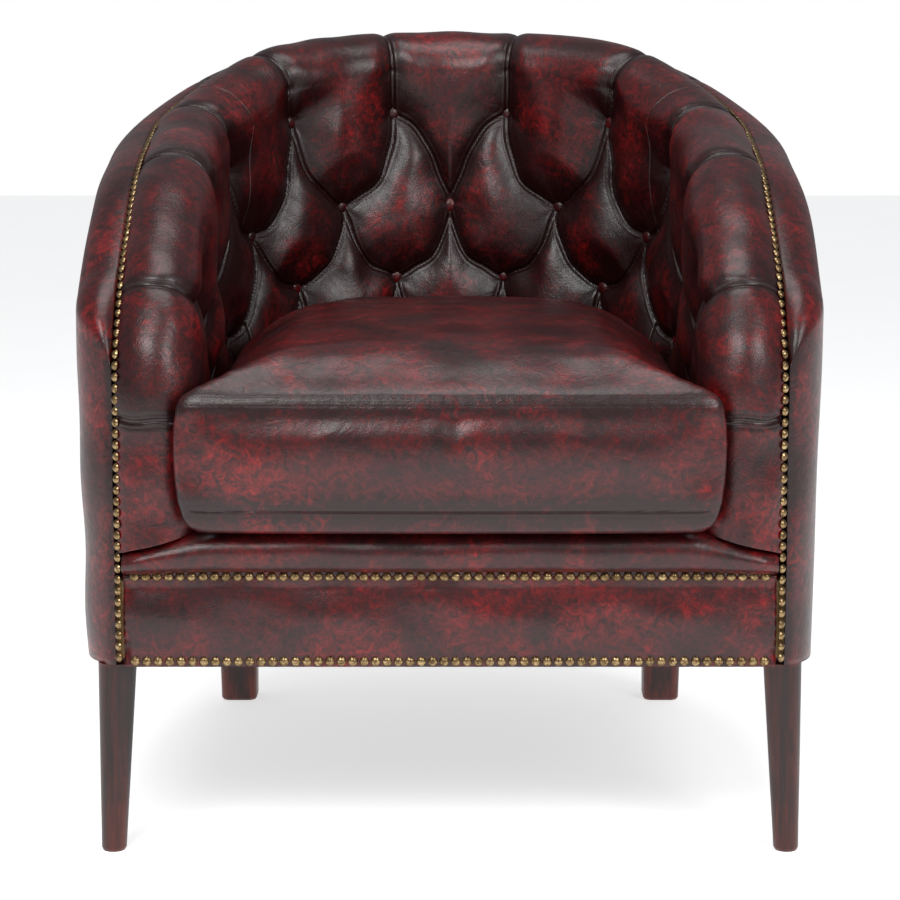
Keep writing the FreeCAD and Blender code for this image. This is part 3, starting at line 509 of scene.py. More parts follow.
def plan_pleats():
    """Folds that run from the top buttons over the roll to the nails."""
    folds = []
    for run, distance, kink in PLEATS:
        start = button_place(run, 0)
        knee = flat_roll(distance, 4.0)
        end = flat_roll(distance, ROLL_GIRTH)
        low = curve(start, (start + knee) / 2 + np.array([kink * 0.4, 0.0]), knee, 12)
        folds.append((low, (NODE_PULL, 18.0, 13.0), (PILLOW_REACH, 48.0, 30.0)))
        high = curve(knee, (knee + end) / 2, end, 14)
        folds.append((high, (13.0, 5.5, 1.5), (30.0, 15.0, 9.0)))
    start, end = flat_roll(931.0, 38.0), flat_roll(929.0, ROLL_GIRTH)
    folds.append((curve(start, (start + end) / 2, end, 10), (0.5, 2.6, 2.0), (6.0, 10.0, 9.0)))
    return folds


wall_folds, BUTTONS = plan_folds()
FOLDS = wall_folds + plan_pleats()
print("folds", len(FOLDS), "buttons on one side", len(BUTTONS))


# %% [markdown]
# ## How far the hide is pulled in
# Across a fold the filling rises like a quarter circle, steep at the fold and flat at the crown.
# Folds that meet are blended, so the crowns stay round. Small puckers ring each button.

# %% Pull of the folds
def to_line(points, line):
    """Distance of points to a bent line, and how far along it the nearest place is, 0 to 1."""
    start, way = line[:-1], np.diff(line, axis=0)
    offset = points[:, None, :] - start[None]
    share = np.clip((offset * way).sum(2) / (way ** 2).sum(1), 0, 1)
    gap = np.linalg.norm(offset - share[..., None] * way, axis=2)
    best = gap.argmin(1)
    rows = np.arange(len(points))
    return gap[rows, best], (best + share[rows, best]) / len(way)


def pulled(flat, seed):
    """How deep the hide is pulled in, and how near a fold is, for places on the flat hide."""
    points = flat.reshape(-1, 2).copy()
    sway = np.stack([ripple(points[:, 0], points[:, 1], 90, seed),
                     ripple(points[:, 0], points[:, 1], 70, seed + 1)], 1)
    points[:, 0] = np.abs(points[:, 0])
    points += sway * np.clip((CREST - 40 - points[:, 1:]) / 60, 0.15, 1) * 2.2
    total, gap_least = np.zeros(len(points)), np.full(len(points), 99.0)
    for line, pulls, reaches in FOLDS:
        low, high = line.min(0) - max(reaches), line.max(0) + max(reaches)
        pick = np.flatnonzero(((points > low) & (points < high)).all(1))
        if not len(pick):
            continue
        gap, share = to_line(points[pick], line)
        pull = np.interp(share, (0, 0.5, 1), pulls)
        soft_gap = np.hypot(gap, GROOVE_MM) - GROOVE_MM
        x = np.clip(soft_gap / np.interp(share, (0, 0.5, 1), reaches), 0, 1)
        press = pull * (0.72 * (1 - np.sqrt(1 - (1 - x) ** 2)) + 0.28 * (1 - x) ** 2)
        total[pick] += np.exp(BLEND * press) - 1
        gap_least[pick] = np.minimum(gap_least[pick], gap)
    depth = np.log1p(total) / BLEND
    depth += puckers(points, seed)
    # near also darkens the leather as painted shade in the folds
    near = 1 - np.clip(gap_least, LINE_MM, NEAR_MM) / NEAR_MM
    return depth.reshape(flat.shape[:-1]), near.reshape(flat.shape[:-1])


def puckers(points, seed):
    """Small gathers that fan out of each button."""
    draw = np.random.default_rng(seed)
    total = np.zeros(len(points))
    for centre in BUTTONS:
        offset = points - centre
        gap = np.hypot(offset[:, 0], offset[:, 1])
        turn = np.arctan2(offset[:, 1], offset[:, 0])
        wave = np.cos(draw.integers(7, 10) * turn + draw.uniform(0, 6.28))
        total += PUCKER * wave * np.exp(-gap / 13) * np.clip(gap / 7, 0, 1)
    return total


# %% [markdown]
# ## Inside hide: the back and two arms
# Columns follow the rim, so one grid covers roll and wall. On the arm fronts the rim drops straight
# down: there a second grid covers the roll alone and is welded to the last column of the wall.

# %% Inside hide
WALL_ROWS = 168
ROLL_ROWS = 46
HIDE_SEED = 11
CROWN_SOFT = 0.9            # soft unevenness of the crowns
DEEPEST = 26.0              # pull at which the painted shade of the hollows is darkest
SEAM_GAP = 0.2              # between the back's hide and the arms'
FRONT_SLANT = 24.0          # the arm front's lower edge drops by this towards the nails


def roll_part(distance, turn):
    """Places, flat places and inward directions over the roll, for a turn from the inside face."""
    across = ROLL_RADIUS * turn
    depth = ROLL_LOW - ROLL_RADIUS * np.sin(turn)
    skin = in_roll(distance, ROLL_INSET + ROLL_RADIUS * np.cos(turn), depth)
    centre = in_roll(distance, ROLL_INSET + 0 * turn, ROLL_LOW + 0 * turn)
    inward = centre - skin
    inward /= np.linalg.norm(inward, axis=-1)[..., None]
    return skin, flat_roll(distance, across), inward


def wall_part(distance, share):
    """The same for the wall, share 0 at the roll and 1 at its lower edge."""
    run, z, along, fall = rim_at(distance)
    side = np.where(distance < 0, -1.0, 1.0)
    column = run + fall * ROLL_LOW
    top = z - along * ROLL_LOW
    height = top + (WALL_BOTTOM - top) * share
    under = np.maximum(top - height, 0)
    turn = np.minimum(column / ROLL_RUN, math.pi / 2)
    inset = ROLL_INSET + ROLL_RADIUS + RAKE * under * np.cos(turn) ** 2
    x, y, _, _ = on_plan(side * column, inset)
    inner_x, inner_y, _, _ = on_plan(side * column, inset - 1)
    inward = np.stack([inner_x - x, inner_y - y, 0 * x], -1)
    return np.stack([x, y, height], -1), np.stack([column, height], -1), inward


def hide_grid(distances):
    """Roll and wall in one grid, from the nails down to the lower edge of the wall."""
    turns = np.linspace(NAIL_TURN, 0, ROLL_ROWS + 1)
    d, t = np.meshgrid(distances, turns, indexing="ij")
    top = roll_part(d, t)
    d, s = np.meshgrid(distances, np.linspace(0, 1, WALL_ROWS + 1)[1:], indexing="ij")
    low = wall_part(d, s)
    return [np.concatenate(pair, axis=1) for pair in zip(top, low)]


def settle(skin, flat, inward, seed):
    """Pulls the hide in at its folds and gives its crowns a soft unevenness."""
    depth, near = pulled(flat, seed)
    soft = ripple(skin[..., 0] + skin[..., 1], skin[..., 2], 85, seed + 5)
    depth = depth + CROWN_SOFT * soft
    places = skin + inward * depth[..., None]
    # the last value is the painted shade of the hollows, full at a pull of DEEPEST
    return places, near, np.clip(depth / DEEPEST, 0, 1)


def add_hide(bm, grid):
    skin, flat, inward = grid
    places, near, deep = settle(skin, flat, inward, HIDE_SEED)
    sheet_mesh(bm, places, places + inward, near, deep)


def front_grid(sign):
    """The roll down the arm front. Its lower edge slants down towards the nails."""
    share = np.linspace(0, 1, WALL_ROWS + 1)
    turns = np.linspace(NAIL_TURN, 0, ROLL_ROWS + 1)
    s, t = np.meshgrid(share, turns, indexing="ij")
    length = CREST - CORNER_DROP - WALL_BOTTOM
    slant = FRONT_SLANT * (t / NAIL_TURN) ** 1.3
    return roll_part(sign * (RIM_LENGTH + s * (length + slant)), t)


def seam_distance():
    """Distance round the rim at which the back's hide meets an arm's."""
    table = np.linspace(0, RIM_LENGTH, 4000)
    run, _, _, fall = rim_at(table)
    return float(np.interp(WALL_SEAM, run + fall * ROLL_LOW, table))


def make_inside():
    seam = seam_distance()
    pieces = []
    bm = bmesh.new()
    count = int(2 * seam / STEP)
    add_hide(bm, hide_grid(np.linspace(-seam, seam, count + 1)))
    pieces.append(finish_piece(bm, "tufted_hide_back", leather, HIDE))
    for name, sign in (("left", 1), ("right", -1)):
        bm = bmesh.new()
        count = int((RIM_LENGTH - seam) / STEP)
        distances = sign * np.linspace(seam + SEAM_GAP, RIM_LENGTH, count + 1)
        add_hide(bm, hide_grid(distances))
        add_hide(bm, front_grid(sign))
        pieces.append(finish_piece(bm, "tufted_hide_" + name, leather, HIDE))
    return pieces


inside = make_inside()
for piece, side in zip(inside, ("back", "left", "right")):
    wall = "tufted_back" if side == "back" else "tufted_arm_" + side
    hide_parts(wall, "roll_cover_" + side, "roll_foam_" + side)


# %% [markdown]
# ## Covered buttons
# Each button is a low dome covered in the same hide. It sits at the bottom of its hollow, where the
# pleats meet, and only its top shows.

# %% Buttons
BUTTON_RADIUS = 8.0
BUTTON_FLATTEN = 0.5
LOWEST_BUTTON = 440.0       # the cushion hides what lies lower
DEEPEST_SEAT = 97.0


def make_buttons():
    bm = bmesh.new()
    for flat_run, height in BUTTONS:
        if height < LOWEST_BUTTON:
            continue
        for sign in ((1,) if flat_run < 1 else (-1, 1)):
            add_button(bm, sign * flat_run, height)
    return finish_piece(bm, "covered_buttons", leather)


def add_button(bm, run, height):
    """A low dome on the flat of its hollow, facing into the chair."""
    under = max(float(rim_height(run)) - ROLL_LOW - height, 0)
    turn = min(abs(run) / ROLL_RUN, math.pi / 2)
    pull, _ = pulled(np.array([[[run, height]]]), HIDE_SEED)
    inset = ROLL_INSET + ROLL_RADIUS + RAKE * under * math.cos(turn) ** 2 - float(pull[0, 0])
    inset = max(inset, DEEPEST_SEAT)
    x, y, _, _ = on_plan(np.array(run), np.array(inset + 1.0))
    far_x, far_y, _, _ = on_plan(np.array(run), np.array(inset + 2.0))
    way = Vector((float(far_x - x), float(far_y - y), 0)).normalized()
    made = bmesh.ops.create_uvsphere(bm, u_segments=20, v_segments=10, radius=BUTTON_RADIUS * MM)
    bmesh.ops.scale(bm, verts=made["verts"], vec=(1, 1, BUTTON_FLATTEN))
    turned = way.to_track_quat("Z", "Y").to_matrix()
    bmesh.ops.rotate(bm, verts=made["verts"], matrix=turned)
    bmesh.ops.translate(bm, verts=made["verts"], vec=(float(x) * MM, float(y) * MM, height * MM))


buttons = make_buttons()
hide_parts("buttons")


# %% [markdown]
# ## Outside hides
# Plain panels close the back and the arms. Each comes up the wall, over the rounded shoulder and
# down again to the nails. They meet in upright seams that draw in a little, as sewn hide does.

# %% Outside hides
OUTSIDE_SEAM = math.radians(57) * ROLL_RUN
CORNER_X = HALF_WIDTH - CORNER_RADIUS
CORNER_Y = FRONT_Y + math.sqrt(CORNER_RADIUS ** 2 - (CORNER_RADIUS - NAIL_INSET) ** 2)
CORNER_END = math.acos((CORNER_RADIUS - NAIL_INSET + NAIL_RECESS) / (CORNER_RADIUS - 2.8))
OUTSIDE_ROWS = 56
SHOULDER_ROWS = 18
OUTSIDE_STEP = 6.0
CORNER_SECTIONS = 24
EDGE_TUCK = 1.8             # the hide draws in by this at a seam
OUTSIDE_SET = 0.9           # and lies this far inside the drawn wall


def section(inset, recess, lean, top):
    """Insets and heights of one upright section, from the lower edge to the nails."""
    rise = SHOULDER_DROP * inset / NAIL_INSET
    radius = (inset ** 2 + rise ** 2) / (2 * inset)
    over = math.acos(max(-1.0, min(1.0, (radius - inset + recess) / radius)))
    share = np.linspace(0, 1, OUTSIDE_ROWS + 1)
    wall_z = LEATHER_BOTTOM + (top - rise - LEATHER_BOTTOM) * share
    turn = np.linspace(0, over, SHOULDER_ROWS + 1)[1:]
    inward = np.concatenate([lean * (1 - share), radius * (1 - np.cos(turn))])
    return inward, np.concatenate([wall_z, top - rise + radius * np.sin(turn)])


def outside_stations(start, end, recess, round_corner):
    """Sections round the chair as (run or turn, is it the corner, insets, heights)."""
    stations = []
    for run in np.linspace(start, end, int(abs(end - start) / OUTSIDE_STEP) + 1):
        inward, z = section(NAIL_INSET, recess, BOTTOM_LEAN, float(rim_height(run)))
        stations.append((run, False, inward, z))
    for turn in np.linspace(0, CORNER_END, CORNER_SECTIONS)[1:] if round_corner else ():
        reach = (CORNER_RADIUS - NAIL_INSET + NAIL_RECESS) / math.cos(turn)
        run = ARC_RUN + CENTRE_Y - (CORNER_Y - reach * math.sin(turn))
        inset = max(CORNER_RADIUS - reach + NAIL_RECESS, 5.6)
        lean = BOTTOM_LEAN * (1 - turn / CORNER_END)
        inward, z = section(inset, NAIL_RECESS, lean, float(rim_height(min(run, FRONT_RUN))))
        stations.append((turn, True, inward, z))
    return stations


def station_places(station, sign, extra):
    """Places of one section, moved inwards by extra."""
    value, corner, inward, z = station
    inset = inward + extra
    if corner:
        reach = CORNER_RADIUS - inset
        return np.stack([sign * (CORNER_X + reach * math.cos(value)),
                         CORNER_Y - reach * math.sin(value), z], -1)
    x, y, _, _ = on_plan(np.full(len(z), value * sign), inset)
    return np.stack([x, y, z], -1)


def outside_piece(name, stations, sign, seed):
    count = len(stations)
    rows = len(stations[0][2])
    step = np.arange(count) * OUTSIDE_STEP
    edge = np.minimum(step, step[-1] - step)
    tuck = EDGE_TUCK * np.exp(-(edge / 5.0) ** 2)
    level = np.linspace(0, 500, rows)
    soft = ripple(step[:, None] + 0 * level, level + 0 * step[:, None], 190, seed) * 0.9
    soft *= np.clip((rows - 8 - np.arange(rows)) / 10, 0, 1)
    extra = tuck[:, None] + soft + OUTSIDE_SET
    places = np.stack([station_places(s, sign, e) for s, e in zip(stations, extra)])
    behind = np.stack([station_places(s, sign, e + 4) for s, e in zip(stations, extra)])
    # nearness to a seam: the leather darkens it as painted shade and raises fine ridges beside it
    near = np.clip(1 - edge / 20, 0, 1)[:, None] * np.clip((rows - np.arange(rows)) / 6, 0, 1)
    bm = bmesh.new()
    sheet_mesh(bm, places, behind, 0.8 * near)
    return finish_piece(bm, name, leather, HIDE)


back_stations = outside_stations(-OUTSIDE_SEAM, OUTSIDE_SEAM, 0.0, False)
outside_back = outside_piece("outside_hide_back", back_stations, 1, 31)
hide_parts("outside_back_cover")
side_run = ARC_RUN + CENTRE_Y - CORNER_Y
arm_stations = outside_stations(OUTSIDE_SEAM + 0.3, side_run, NAIL_RECESS, True)
for side, sign in (("left", 1), ("right", -1)):
    outside_arm = outside_piece("outside_hide_" + side, arm_stations, sign, 40 + sign)
    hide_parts("outside_arm_cover_" + side)


# %% [markdown]
# ## Seat lip and front rail
# Two padded strips cross the front between rows of nails. The upper one is a full roll that slopes
# away at its ends under the arms, and the lower one is nearly flat over thin felt.

# %% Front strips
NAIL_ROOM = 4.6
STRIP_HALF = HALF_WIDTH - NAIL_INSET - NAIL_ROOM
STRIP_COLUMNS = 260
LIP_SWELL, LIP_BACK, LIP_DEPTH = 18.0, 4.0, 42.0
LIP_DROOP = 22.0            # the lip's upper edge falls by this towards its ends
RAIL_SWELL = 5.0
RAIL_EDGE = 11.0


def arc_through(a, b, c, count):
    """Points on the circle through three places."""
    (ax, ay), (bx, by), (cx, cy) = a, b, c
    d = 2 * (ax * (by - cy) + bx * (cy - ay) + cx * (ay - by))
    aa, bb, cc = ax ** 2 + ay ** 2, bx ** 2 + by ** 2, cx ** 2 + cy ** 2
    ux = (aa * (by - cy) + bb * (cy - ay) + cc * (ay - by)) / d
    uy = (aa * (cx - bx) + bb * (ax - cx) + cc * (bx - ax)) / d
    radius = math.hypot(ax - ux, ay - uy)
    first, last = math.atan2(ay - uy, ax - ux), math.atan2(cy - uy, cx - ux)
    turn = np.linspace(first, last, count)
    return np.stack([ux + radius * np.cos(turn), uy + radius * np.sin(turn)], -1)


def strip_piece(name, profile, seed, droop):
    """A strip across the front from a profile of (before the nails, height)."""
    across = np.linspace(-STRIP_HALF, STRIP_HALF, STRIP_COLUMNS)
    x, before = np.meshgrid(across, profile[:, 0], indexing="ij")
    z = np.broadcast_to(profile[:, 1], x.shape).copy()
    share = np.clip((z - LIP_NAILS) / (LIP_TOP - LIP_NAILS), 0, 1) if droop else 0 * z
    z -= share * droop * np.clip((np.abs(x) - 232) / 84, 0, 1) ** 1.2
    end = np.exp(-((STRIP_HALF - np.abs(x)) / 9) ** 2)
    count = np.arange(len(profile))
    full = np.clip(count / 5, 0, 1) * np.clip((len(profile) - 1 - count) / 5, 0, 1)
    soft = ripple(x, z * 1.5, 95, seed) * 0.8 * full
    before = before + soft - end * 5 * full
    gather = np.sin(x / 5.45 * math.pi / 2) * 0.25 * np.exp(-count / 3)
    places = np.stack([x, FRONT_Y - before - gather, z], -1)
    behind = places + np.array([0, 4.0, -1.0])
    bm = bmesh.new()
    sheet_mesh(bm, places, behind)
    return finish_piece(bm, name, leather, HIDE)


def flat_run(a, b, count):
    return np.stack([np.linspace(a[0], b[0], count), np.linspace(a[1], b[1], count)], -1)


lip_foot = LIP_NAILS + NAIL_ROOM
lip_profile = np.concatenate([
    flat_run((0, LIP_NAILS), (0, lip_foot), 4)[:-1],
    arc_through((0, lip_foot), (LIP_SWELL, (lip_foot + LIP_TOP) / 2), (-LIP_BACK, LIP_TOP), 26),
    flat_run((-LIP_BACK, LIP_TOP), (-LIP_DEPTH, LIP_TOP), 12)[1:]])
lip = strip_piece("seat_lip_hide", lip_profile, 51, LIP_DROOP)
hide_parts("seat_lip_cover", "seat_lip_foam")
rail_low, rail_high = LEATHER_BOTTOM + RAIL_EDGE, LIP_NAILS - RAIL_EDGE
rail_profile = np.concatenate([
    flat_run((0, LEATHER_BOTTOM), (0, rail_low), 5)[:-1],
    arc_through((0, rail_low), (RAIL_SWELL, (rail_low + rail_high) / 2), (0, rail_high), 30),
    flat_run((0, rail_high), (0, LIP_NAILS - 0.3), 5)[1:]])
rail = strip_piece("front_rail_hide", rail_profile, 57, 0.0)
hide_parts("front_rail_cover", "front_rail_wadding")


# %% [markdown]
# ## Loose cushion
# Three panels of hide are sewn round a crowned foam: a top, a border and an underside. The form is
# drawn a little lean, blown up with cloth pressure so that the hide swells between its seams, and
# then the seams are pressed in again.

# %% Cushion form
CUSHION_HALF = 232.0
WING = 36.0
WING_TAPER = 45.0
PROUD = 42.0                # front of the cushion before the nail line
BACK_SHIFT = 36.0           # its round back before the tub's
WING_GAP, WING_DEPTH = 4.0, 18.0
FRONT_BOW = 5.0
CORNER_SOFT = 15.0
FACE = FRONT_Y - PROUD
BACK_Y = CENTRE_Y - BACK_SHIFT
WING_Y = max(FRONT_Y - (ROLL_RADIUS - ROLL_LOW) - WING_GAP, FACE + WING_DEPTH)
SEAM_LOW, SEAM_HIGH = 347.0, 454.0
CUSHION_LOW = 321.3
EDGE_REACH, EDGE_RISE, CROWN_RISE = 88.0, 29.0, 19.0


def bend(a, b, c, count):
    """Places along a soft corner from a to c that leans towards b, without the last one."""
    t = np.linspace(0, 1, count + 1)[:-1, None]
    a, b, c = np.array(a), np.array(b), np.array(c)
    return a * (1 - t) ** 2 + 2 * b * t * (1 - t) + c * t ** 2


def outline(inset):
    """Half the plan of the cushion, from the middle of its back to the middle of its front."""
    half = max(CUSHION_HALF - inset, 0.0)
    reach = half + WING * max(1 - max(inset, 0) / WING_TAPER, 0.0) * min(1.0, half / 40)
    front = min(FACE + inset, BACK_Y)
    wing_y = min(WING_Y + 0.5 * inset, BACK_Y)
    knee_y = min(wing_y + 14.0, BACK_Y)
    turn = np.linspace(0, math.pi / 2, 61)[:-1]
    back = np.stack([half * np.sin(turn), BACK_Y + half * np.cos(turn)], -1)
    side = bend((half, BACK_Y), (half, (BACK_Y + knee_y) / 2), (half, knee_y), 44)
    step = bend((half, knee_y), (half, wing_y), (reach, wing_y), 14)
    soft = min(CORNER_SOFT, max((wing_y - front) / 2, 0.0))
    tip = bend((reach, wing_y), (reach + 0.5, (wing_y + front) / 2), (reach, front + soft), 8)
    corner = bend((reach, front + soft), (reach, front), (reach - min(soft, half), front), 10)
    bow = np.linspace(1, 0, 61)
    width = reach - min(soft, half)
    face = np.stack([width * bow, front - FRONT_BOW * (1 - bow ** 2) * min(1, half / 60)], -1)
    return np.concatenate([back, side, step, tip, corner, face])


def cushion_rings():
    """(inset, height) from the middle of the underside over the border to the crown."""
    rings = [(CUSHION_HALF * s, CUSHION_LOW + 0.6) for s in np.linspace(1, 0.12, 14)]
    rings += [(16, CUSHION_LOW + 1.5), (9, CUSHION_LOW + 7), (5.5, SEAM_LOW - 9), (5.0, SEAM_LOW)]
    for s in np.linspace(0, 1, 15)[1:-1]:
        rings.append((5.0 - 4.0 * math.sin(s * math.pi) ** 0.7, SEAM_LOW + (SEAM_HIGH - SEAM_LOW) * s))
    rings.append((5.0, SEAM_HIGH))
    for s in np.linspace(0, 1, 26)[1:]:
        inset = 5 + (CUSHION_HALF - 5) * s ** 1.25
        rise = 1 - (1 - min((inset - 5) / EDGE_REACH, 1)) ** 2.4
        rings.append((inset, SEAM_HIGH + EDGE_RISE * rise ** 0.8))
    return rings


def crowned(places):
    """The top panel's even crown over the roll of its edge."""
    x, y, z = places[..., 0], places[..., 1], places[..., 2]
    middle_y, half_y = (FACE + BACK_Y + CUSHION_HALF) / 2, (BACK_Y + CUSHION_HALF - FACE) / 2
    crown = np.clip(1 - (x / 300) ** 2, 0, 1) * np.clip(1 - ((y - middle_y) / (half_y + 25)) ** 2, 0, 1)
    share = np.clip((z - SEAM_HIGH) / EDGE_RISE, 0, 1)
    places[..., 2] = z + CROWN_RISE * crown * share
    return places


def make_cushion_form():
    rings = cushion_rings()
    places = []
    for inset, z in rings:
        half = outline(inset)
        other = half[-2:0:-1] * np.array([-1.0, 1.0])
        loop = np.concatenate([half, other, half[:1]])
        places.append(np.concatenate([loop, np.full((len(loop), 1), z)], 1))
    places = crowned(np.stack(places))
    middle = np.array([0, -120.0, 410.0])
    bm = bmesh.new()
    sheet_mesh(bm, places, middle + 0 * places)
    bmesh.ops.remove_doubles(bm, verts=bm.verts[:], dist=0.05 * MM)
    bmesh.ops.recalc_face_normals(bm, faces=bm.faces[:])
    return bm


# %% [markdown]
# The hide of a cushion is stiff and its foam fills it, so the cloth only swells by some millimetres.
# A cap keeps every point near its drawn place. The seams are pressed in afterwards, with small
# gathers, and their nearness is stored for the painted shade along each seam and the fine ridges beside
# it.

# %% Cushion swell and seams
VOXEL = 5.5
CLOTH_PRESSURE = 4.0
CLOTH_STIFFNESS = 25.0
CLOTH_FRAMES = 20
RELAX_TIMES = 5
SEAM_PRESS = 3.0
SWELL_CAP = 6.0
SEAM_HOLD = 30.0


def seam_tree():
    """Lookup of the nearest place on the two sewn seams."""
    loops = []
    for z in (SEAM_LOW, SEAM_HIGH):
        half = outline(3.0)
        loop = np.concatenate([half, half[-2:0:-1] * np.array([-1.0, 1.0])])
        loop = np.concatenate([loop, np.full((len(loop), 1), z)], 1)
        loops += [loop * (1 - s) + np.roll(loop, -1, axis=0) * s for s in (0, 0.34, 0.67)]
    seams = np.concatenate(loops)
    tree = kdtree.KDTree(len(seams))
    for i, place in enumerate(seams):
        tree.insert(Vector(place * MM), i)
    tree.balance()
    return tree


def relax(piece, times):
    """Takes small sharp dents out of the blown form."""
    bm = bmesh.new()
    bm.from_mesh(piece.data)
    for _ in range(times):
        bmesh.ops.smooth_vert(bm, verts=bm.verts[:], factor=0.5, use_axis_x=True, use_axis_y=True,
                              use_axis_z=True)
    bm.to_mesh(piece.data)
    bm.free()


def swell(piece):
    """Blows the closed form up with cloth pressure and keeps each point near its place."""
    before = np.array([v.co[:] for v in piece.data.vertices])
    cloth = piece.modifiers.new("cloth", "CLOTH")
    cloth.settings.use_pressure = True
    cloth.settings.uniform_pressure_force = CLOTH_PRESSURE
    cloth.settings.tension_stiffness = CLOTH_STIFFNESS
    cloth.settings.effector_weights.gravity = 0.0
    for number in range(1, CLOTH_FRAMES + 1):
        bpy.context.scene.frame_set(number)
    graph = bpy.context.evaluated_depsgraph_get()
    blown = piece.evaluated_get(graph).to_mesh()
    after = np.array([v.co[:] for v in blown.vertices])
    piece.modifiers.remove(cloth)
    bpy.context.scene.frame_set(1)
    move = after - before
    size = np.linalg.norm(move, axis=1)[:, None]
    move *= np.minimum(1, SWELL_CAP * MM / np.maximum(size, 1e-9))
    tree = seam_tree()
    hold = [min(tree.find(Vector(place))[2] / MM / SEAM_HOLD, 1.0) for place in before]
    low = before[:, 2:] < (CUSHION_LOW + 12) * MM
    places = before + np.where(low, 0, move * np.array(hold)[:, None])
    for vert, place in zip(piece.data.vertices, places):
        vert.co = place
    relax(piece, RELAX_TIMES)
    print("cushion swell, most", round(float(size.max()) / MM, 1), "mm")


def remeshed(bm, size):
    """Even closed mesh of the form."""
    mesh = bpy.data.meshes.new("form")
    bm.to_mesh(mesh)
    bm.free()
    piece = bpy.data.objects.new("seat_cushion_hide", mesh)
    bpy.context.scene.collection.objects.link(piece)
    voxels = piece.modifiers.new("even", "REMESH")
    voxels.mode, voxels.voxel_size = "VOXEL", size * MM
    graph = bpy.context.evaluated_depsgraph_get()
    even = bpy.data.meshes.new_from_object(piece.evaluated_get(graph))
    piece.modifiers.remove(voxels)
    piece.data = even
    return piece


def press_seams(piece):
    """Presses the two seams in and stores how near they are."""
    tree = seam_tree()
    near = piece.data.attributes.new("near", "FLOAT", "POINT")
    middle = Vector((0, -0.12, 0.4))
    for i, vert in enumerate(piece.data.vertices):
        _, index, gap = tree.find(vert.co)
        gap /= MM
        inward = middle - vert.co
        inward.z *= 0.25
        wave = math.sin(index * 0.9) * math.sin(index * 0.23)
        press = SEAM_PRESS * math.exp(-(gap / 5.0) ** 2) + 0.22 * wave * math.exp(-gap / 14)
        vert.co += inward.normalized() * press * MM
        # the leather darkens the seam by this nearness as painted shade
        near.data[i].value = max(1 - max(gap, LINE_MM) / NEAR_MM, 0.0)


def soften_top(piece):
    """Shallow dents and rises where the hide lies over the foam."""
    co = np.array([v.co[:] for v in piece.data.vertices]) / MM
    rise = ripple(co[:, 0], co[:, 1], 150, 71) * 1.3 + ripple(co[:, 0], co[:, 1], 60, 73) * 0.35
    top = np.clip((co[:, 2] - SEAM_HIGH - 6) / 25, 0, 1)
    for vert, lift in zip(piece.data.vertices, rise * top):
        vert.co.z += lift * MM


cushion = remeshed(make_cushion_form(), VOXEL)
swell(cushion)
fine = cushion.modifiers.new("finer", "SUBSURF")
fine.levels = fine.render_levels = 1
graph = bpy.context.evaluated_depsgraph_get()
smooth = bpy.data.meshes.new_from_object(cushion.evaluated_get(graph))
cushion.modifiers.clear()
cushion.data = smooth
soften_top(cushion)
press_seams(cushion)
cushion.data.materials.clear()
cushion.data.materials.append(leather)
for face in cushion.data.polygons:
    face.use_smooth = True
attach(cushion, "seat_cushion")
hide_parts("cushion_top_panel", "cushion_border", "cushion_bottom_panel", "cushion_foam")
print("cushion faces", len(cushion.data.polygons))


# %% [markdown]
# ## Studio
# A pale floor and a white surround. Three large soft lamps make the broad grey sheen on the crowns.
# The camera stands two and a half metres before the nails, its eye a little above the top of the
# back, and is tipped down, so that the seat shows and the upright lines stay nearly upright.

# %% Studio
FRAME_PX, FOCAL_PX, HORIZON_PX = 900, 2645.0, 11.6
TIP_DEGREES = 7.5
EYE_BEFORE, EYE_HEIGHT = 2.5, 0.816
FLOOR_GLOW = 0.62
LAMP_AIM = Vector((0, 0, 0.5))


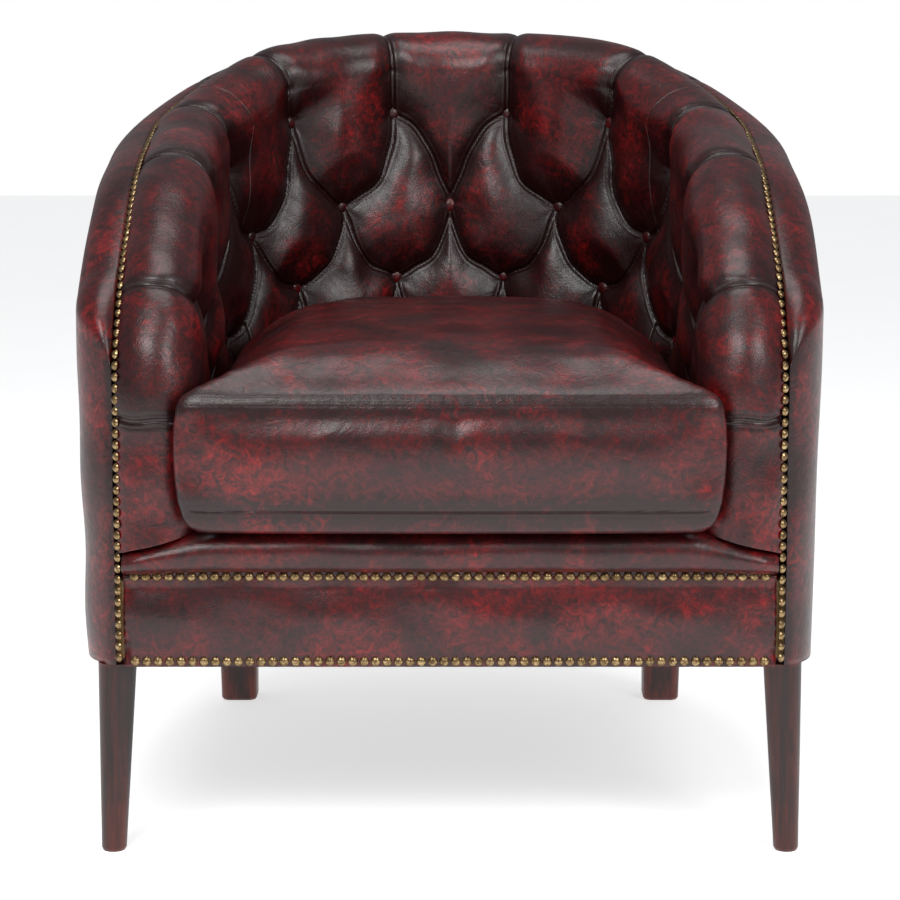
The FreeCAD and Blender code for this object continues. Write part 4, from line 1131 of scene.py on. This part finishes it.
def make_floor():
    """Matt, nearly white, with a faint glow so that it meets the white surround softly."""
    bm = bmesh.new()
    bmesh.ops.create_grid(bm, x_segments=2, y_segments=2, size=9.0)
    mesh = bpy.data.meshes.new("studio_floor")
    bm.to_mesh(mesh)
    bm.free()
    floor = bpy.data.objects.new("studio_floor", mesh)
    bpy.context.scene.collection.objects.link(floor)
    material, tree, shader = new_material("matt_white_floor")
    tone = noise_of(tree, places_of(tree), 400)
    tree.links.new(ramp(tree, tone, [(0.3, "#f4f4f4"), (0.7, "#f8f8f8")]), shader.inputs["Base Color"])
    shader.inputs["Roughness"].default_value = 0.9
    shader.inputs["Emission Color"].default_value = (1, 1, 1, 1)
    shader.inputs["Emission Strength"].default_value = FLOOR_GLOW
    mesh.materials.append(material)


def add_lamp(name, place, size, power):
    data = bpy.data.lights.new(name, "AREA")
    data.shape, data.size, data.size_y = "RECTANGLE", size[0], size[1]
    data.energy = power
    lamp = bpy.data.objects.new(name, data)
    lamp.location = place
    lamp.rotation_euler = (LAMP_AIM - Vector(place)).to_track_quat("-Z", "Y").to_euler()
    bpy.context.scene.collection.objects.link(lamp)


def make_world():
    """White where the camera sees it, and a faint cool light on the chair."""
    world = bpy.data.worlds.new("studio")
    bpy.context.scene.world = world
    world.use_nodes = True
    tree = world.node_tree
    seen = tree.nodes["Background"]
    seen.inputs["Color"].default_value = (1, 1, 1, 1)
    fill = add(tree, "ShaderNodeBackground", {"Color": colour("#f4f6fa"), "Strength": 0.3})
    path = add(tree, "ShaderNodeLightPath")
    mix = add(tree, "ShaderNodeMixShader", {0: path.outputs["Is Camera Ray"], 1: fill.outputs[0],
                                            2: seen.outputs[0]})
    tree.links.new(mix.outputs[0], tree.nodes["World Output"].inputs["Surface"])


def make_camera():
    """At the photograph's eye, tipped down, with the small rest of the fall as shift."""
    focal, horizon, tip = FOCAL_PX, HORIZON_PX, math.radians(TIP_DEGREES)
    data = bpy.data.cameras.new("camera")
    data.lens = focal / FRAME_PX * data.sensor_width
    data.shift_y = -(FRAME_PX / 2 - horizon - focal * math.tan(tip)) / FRAME_PX
    camera = bpy.data.objects.new("camera", data)
    camera.location = (0.0, FRONT_Y * MM - EYE_BEFORE, EYE_HEIGHT)
    camera.rotation_euler = (math.pi / 2 - tip, 0, 0)
    bpy.context.scene.collection.objects.link(camera)
    bpy.context.scene.camera = camera
    print("lens", round(data.lens, 1), "shift", round(data.shift_y, 3))


make_floor()
make_world()
add_lamp("key", (-0.9, -2.2, 2.3), (1.3, 1.0), 38)
add_lamp("fill", (1.5, -2.0, 1.8), (1.0, 1.2), 28)
add_lamp("top", (0, -0.3, 2.7), (1.6, 1.2), 22)
make_camera()
bpy.context.scene.view_settings.view_transform = "Standard"
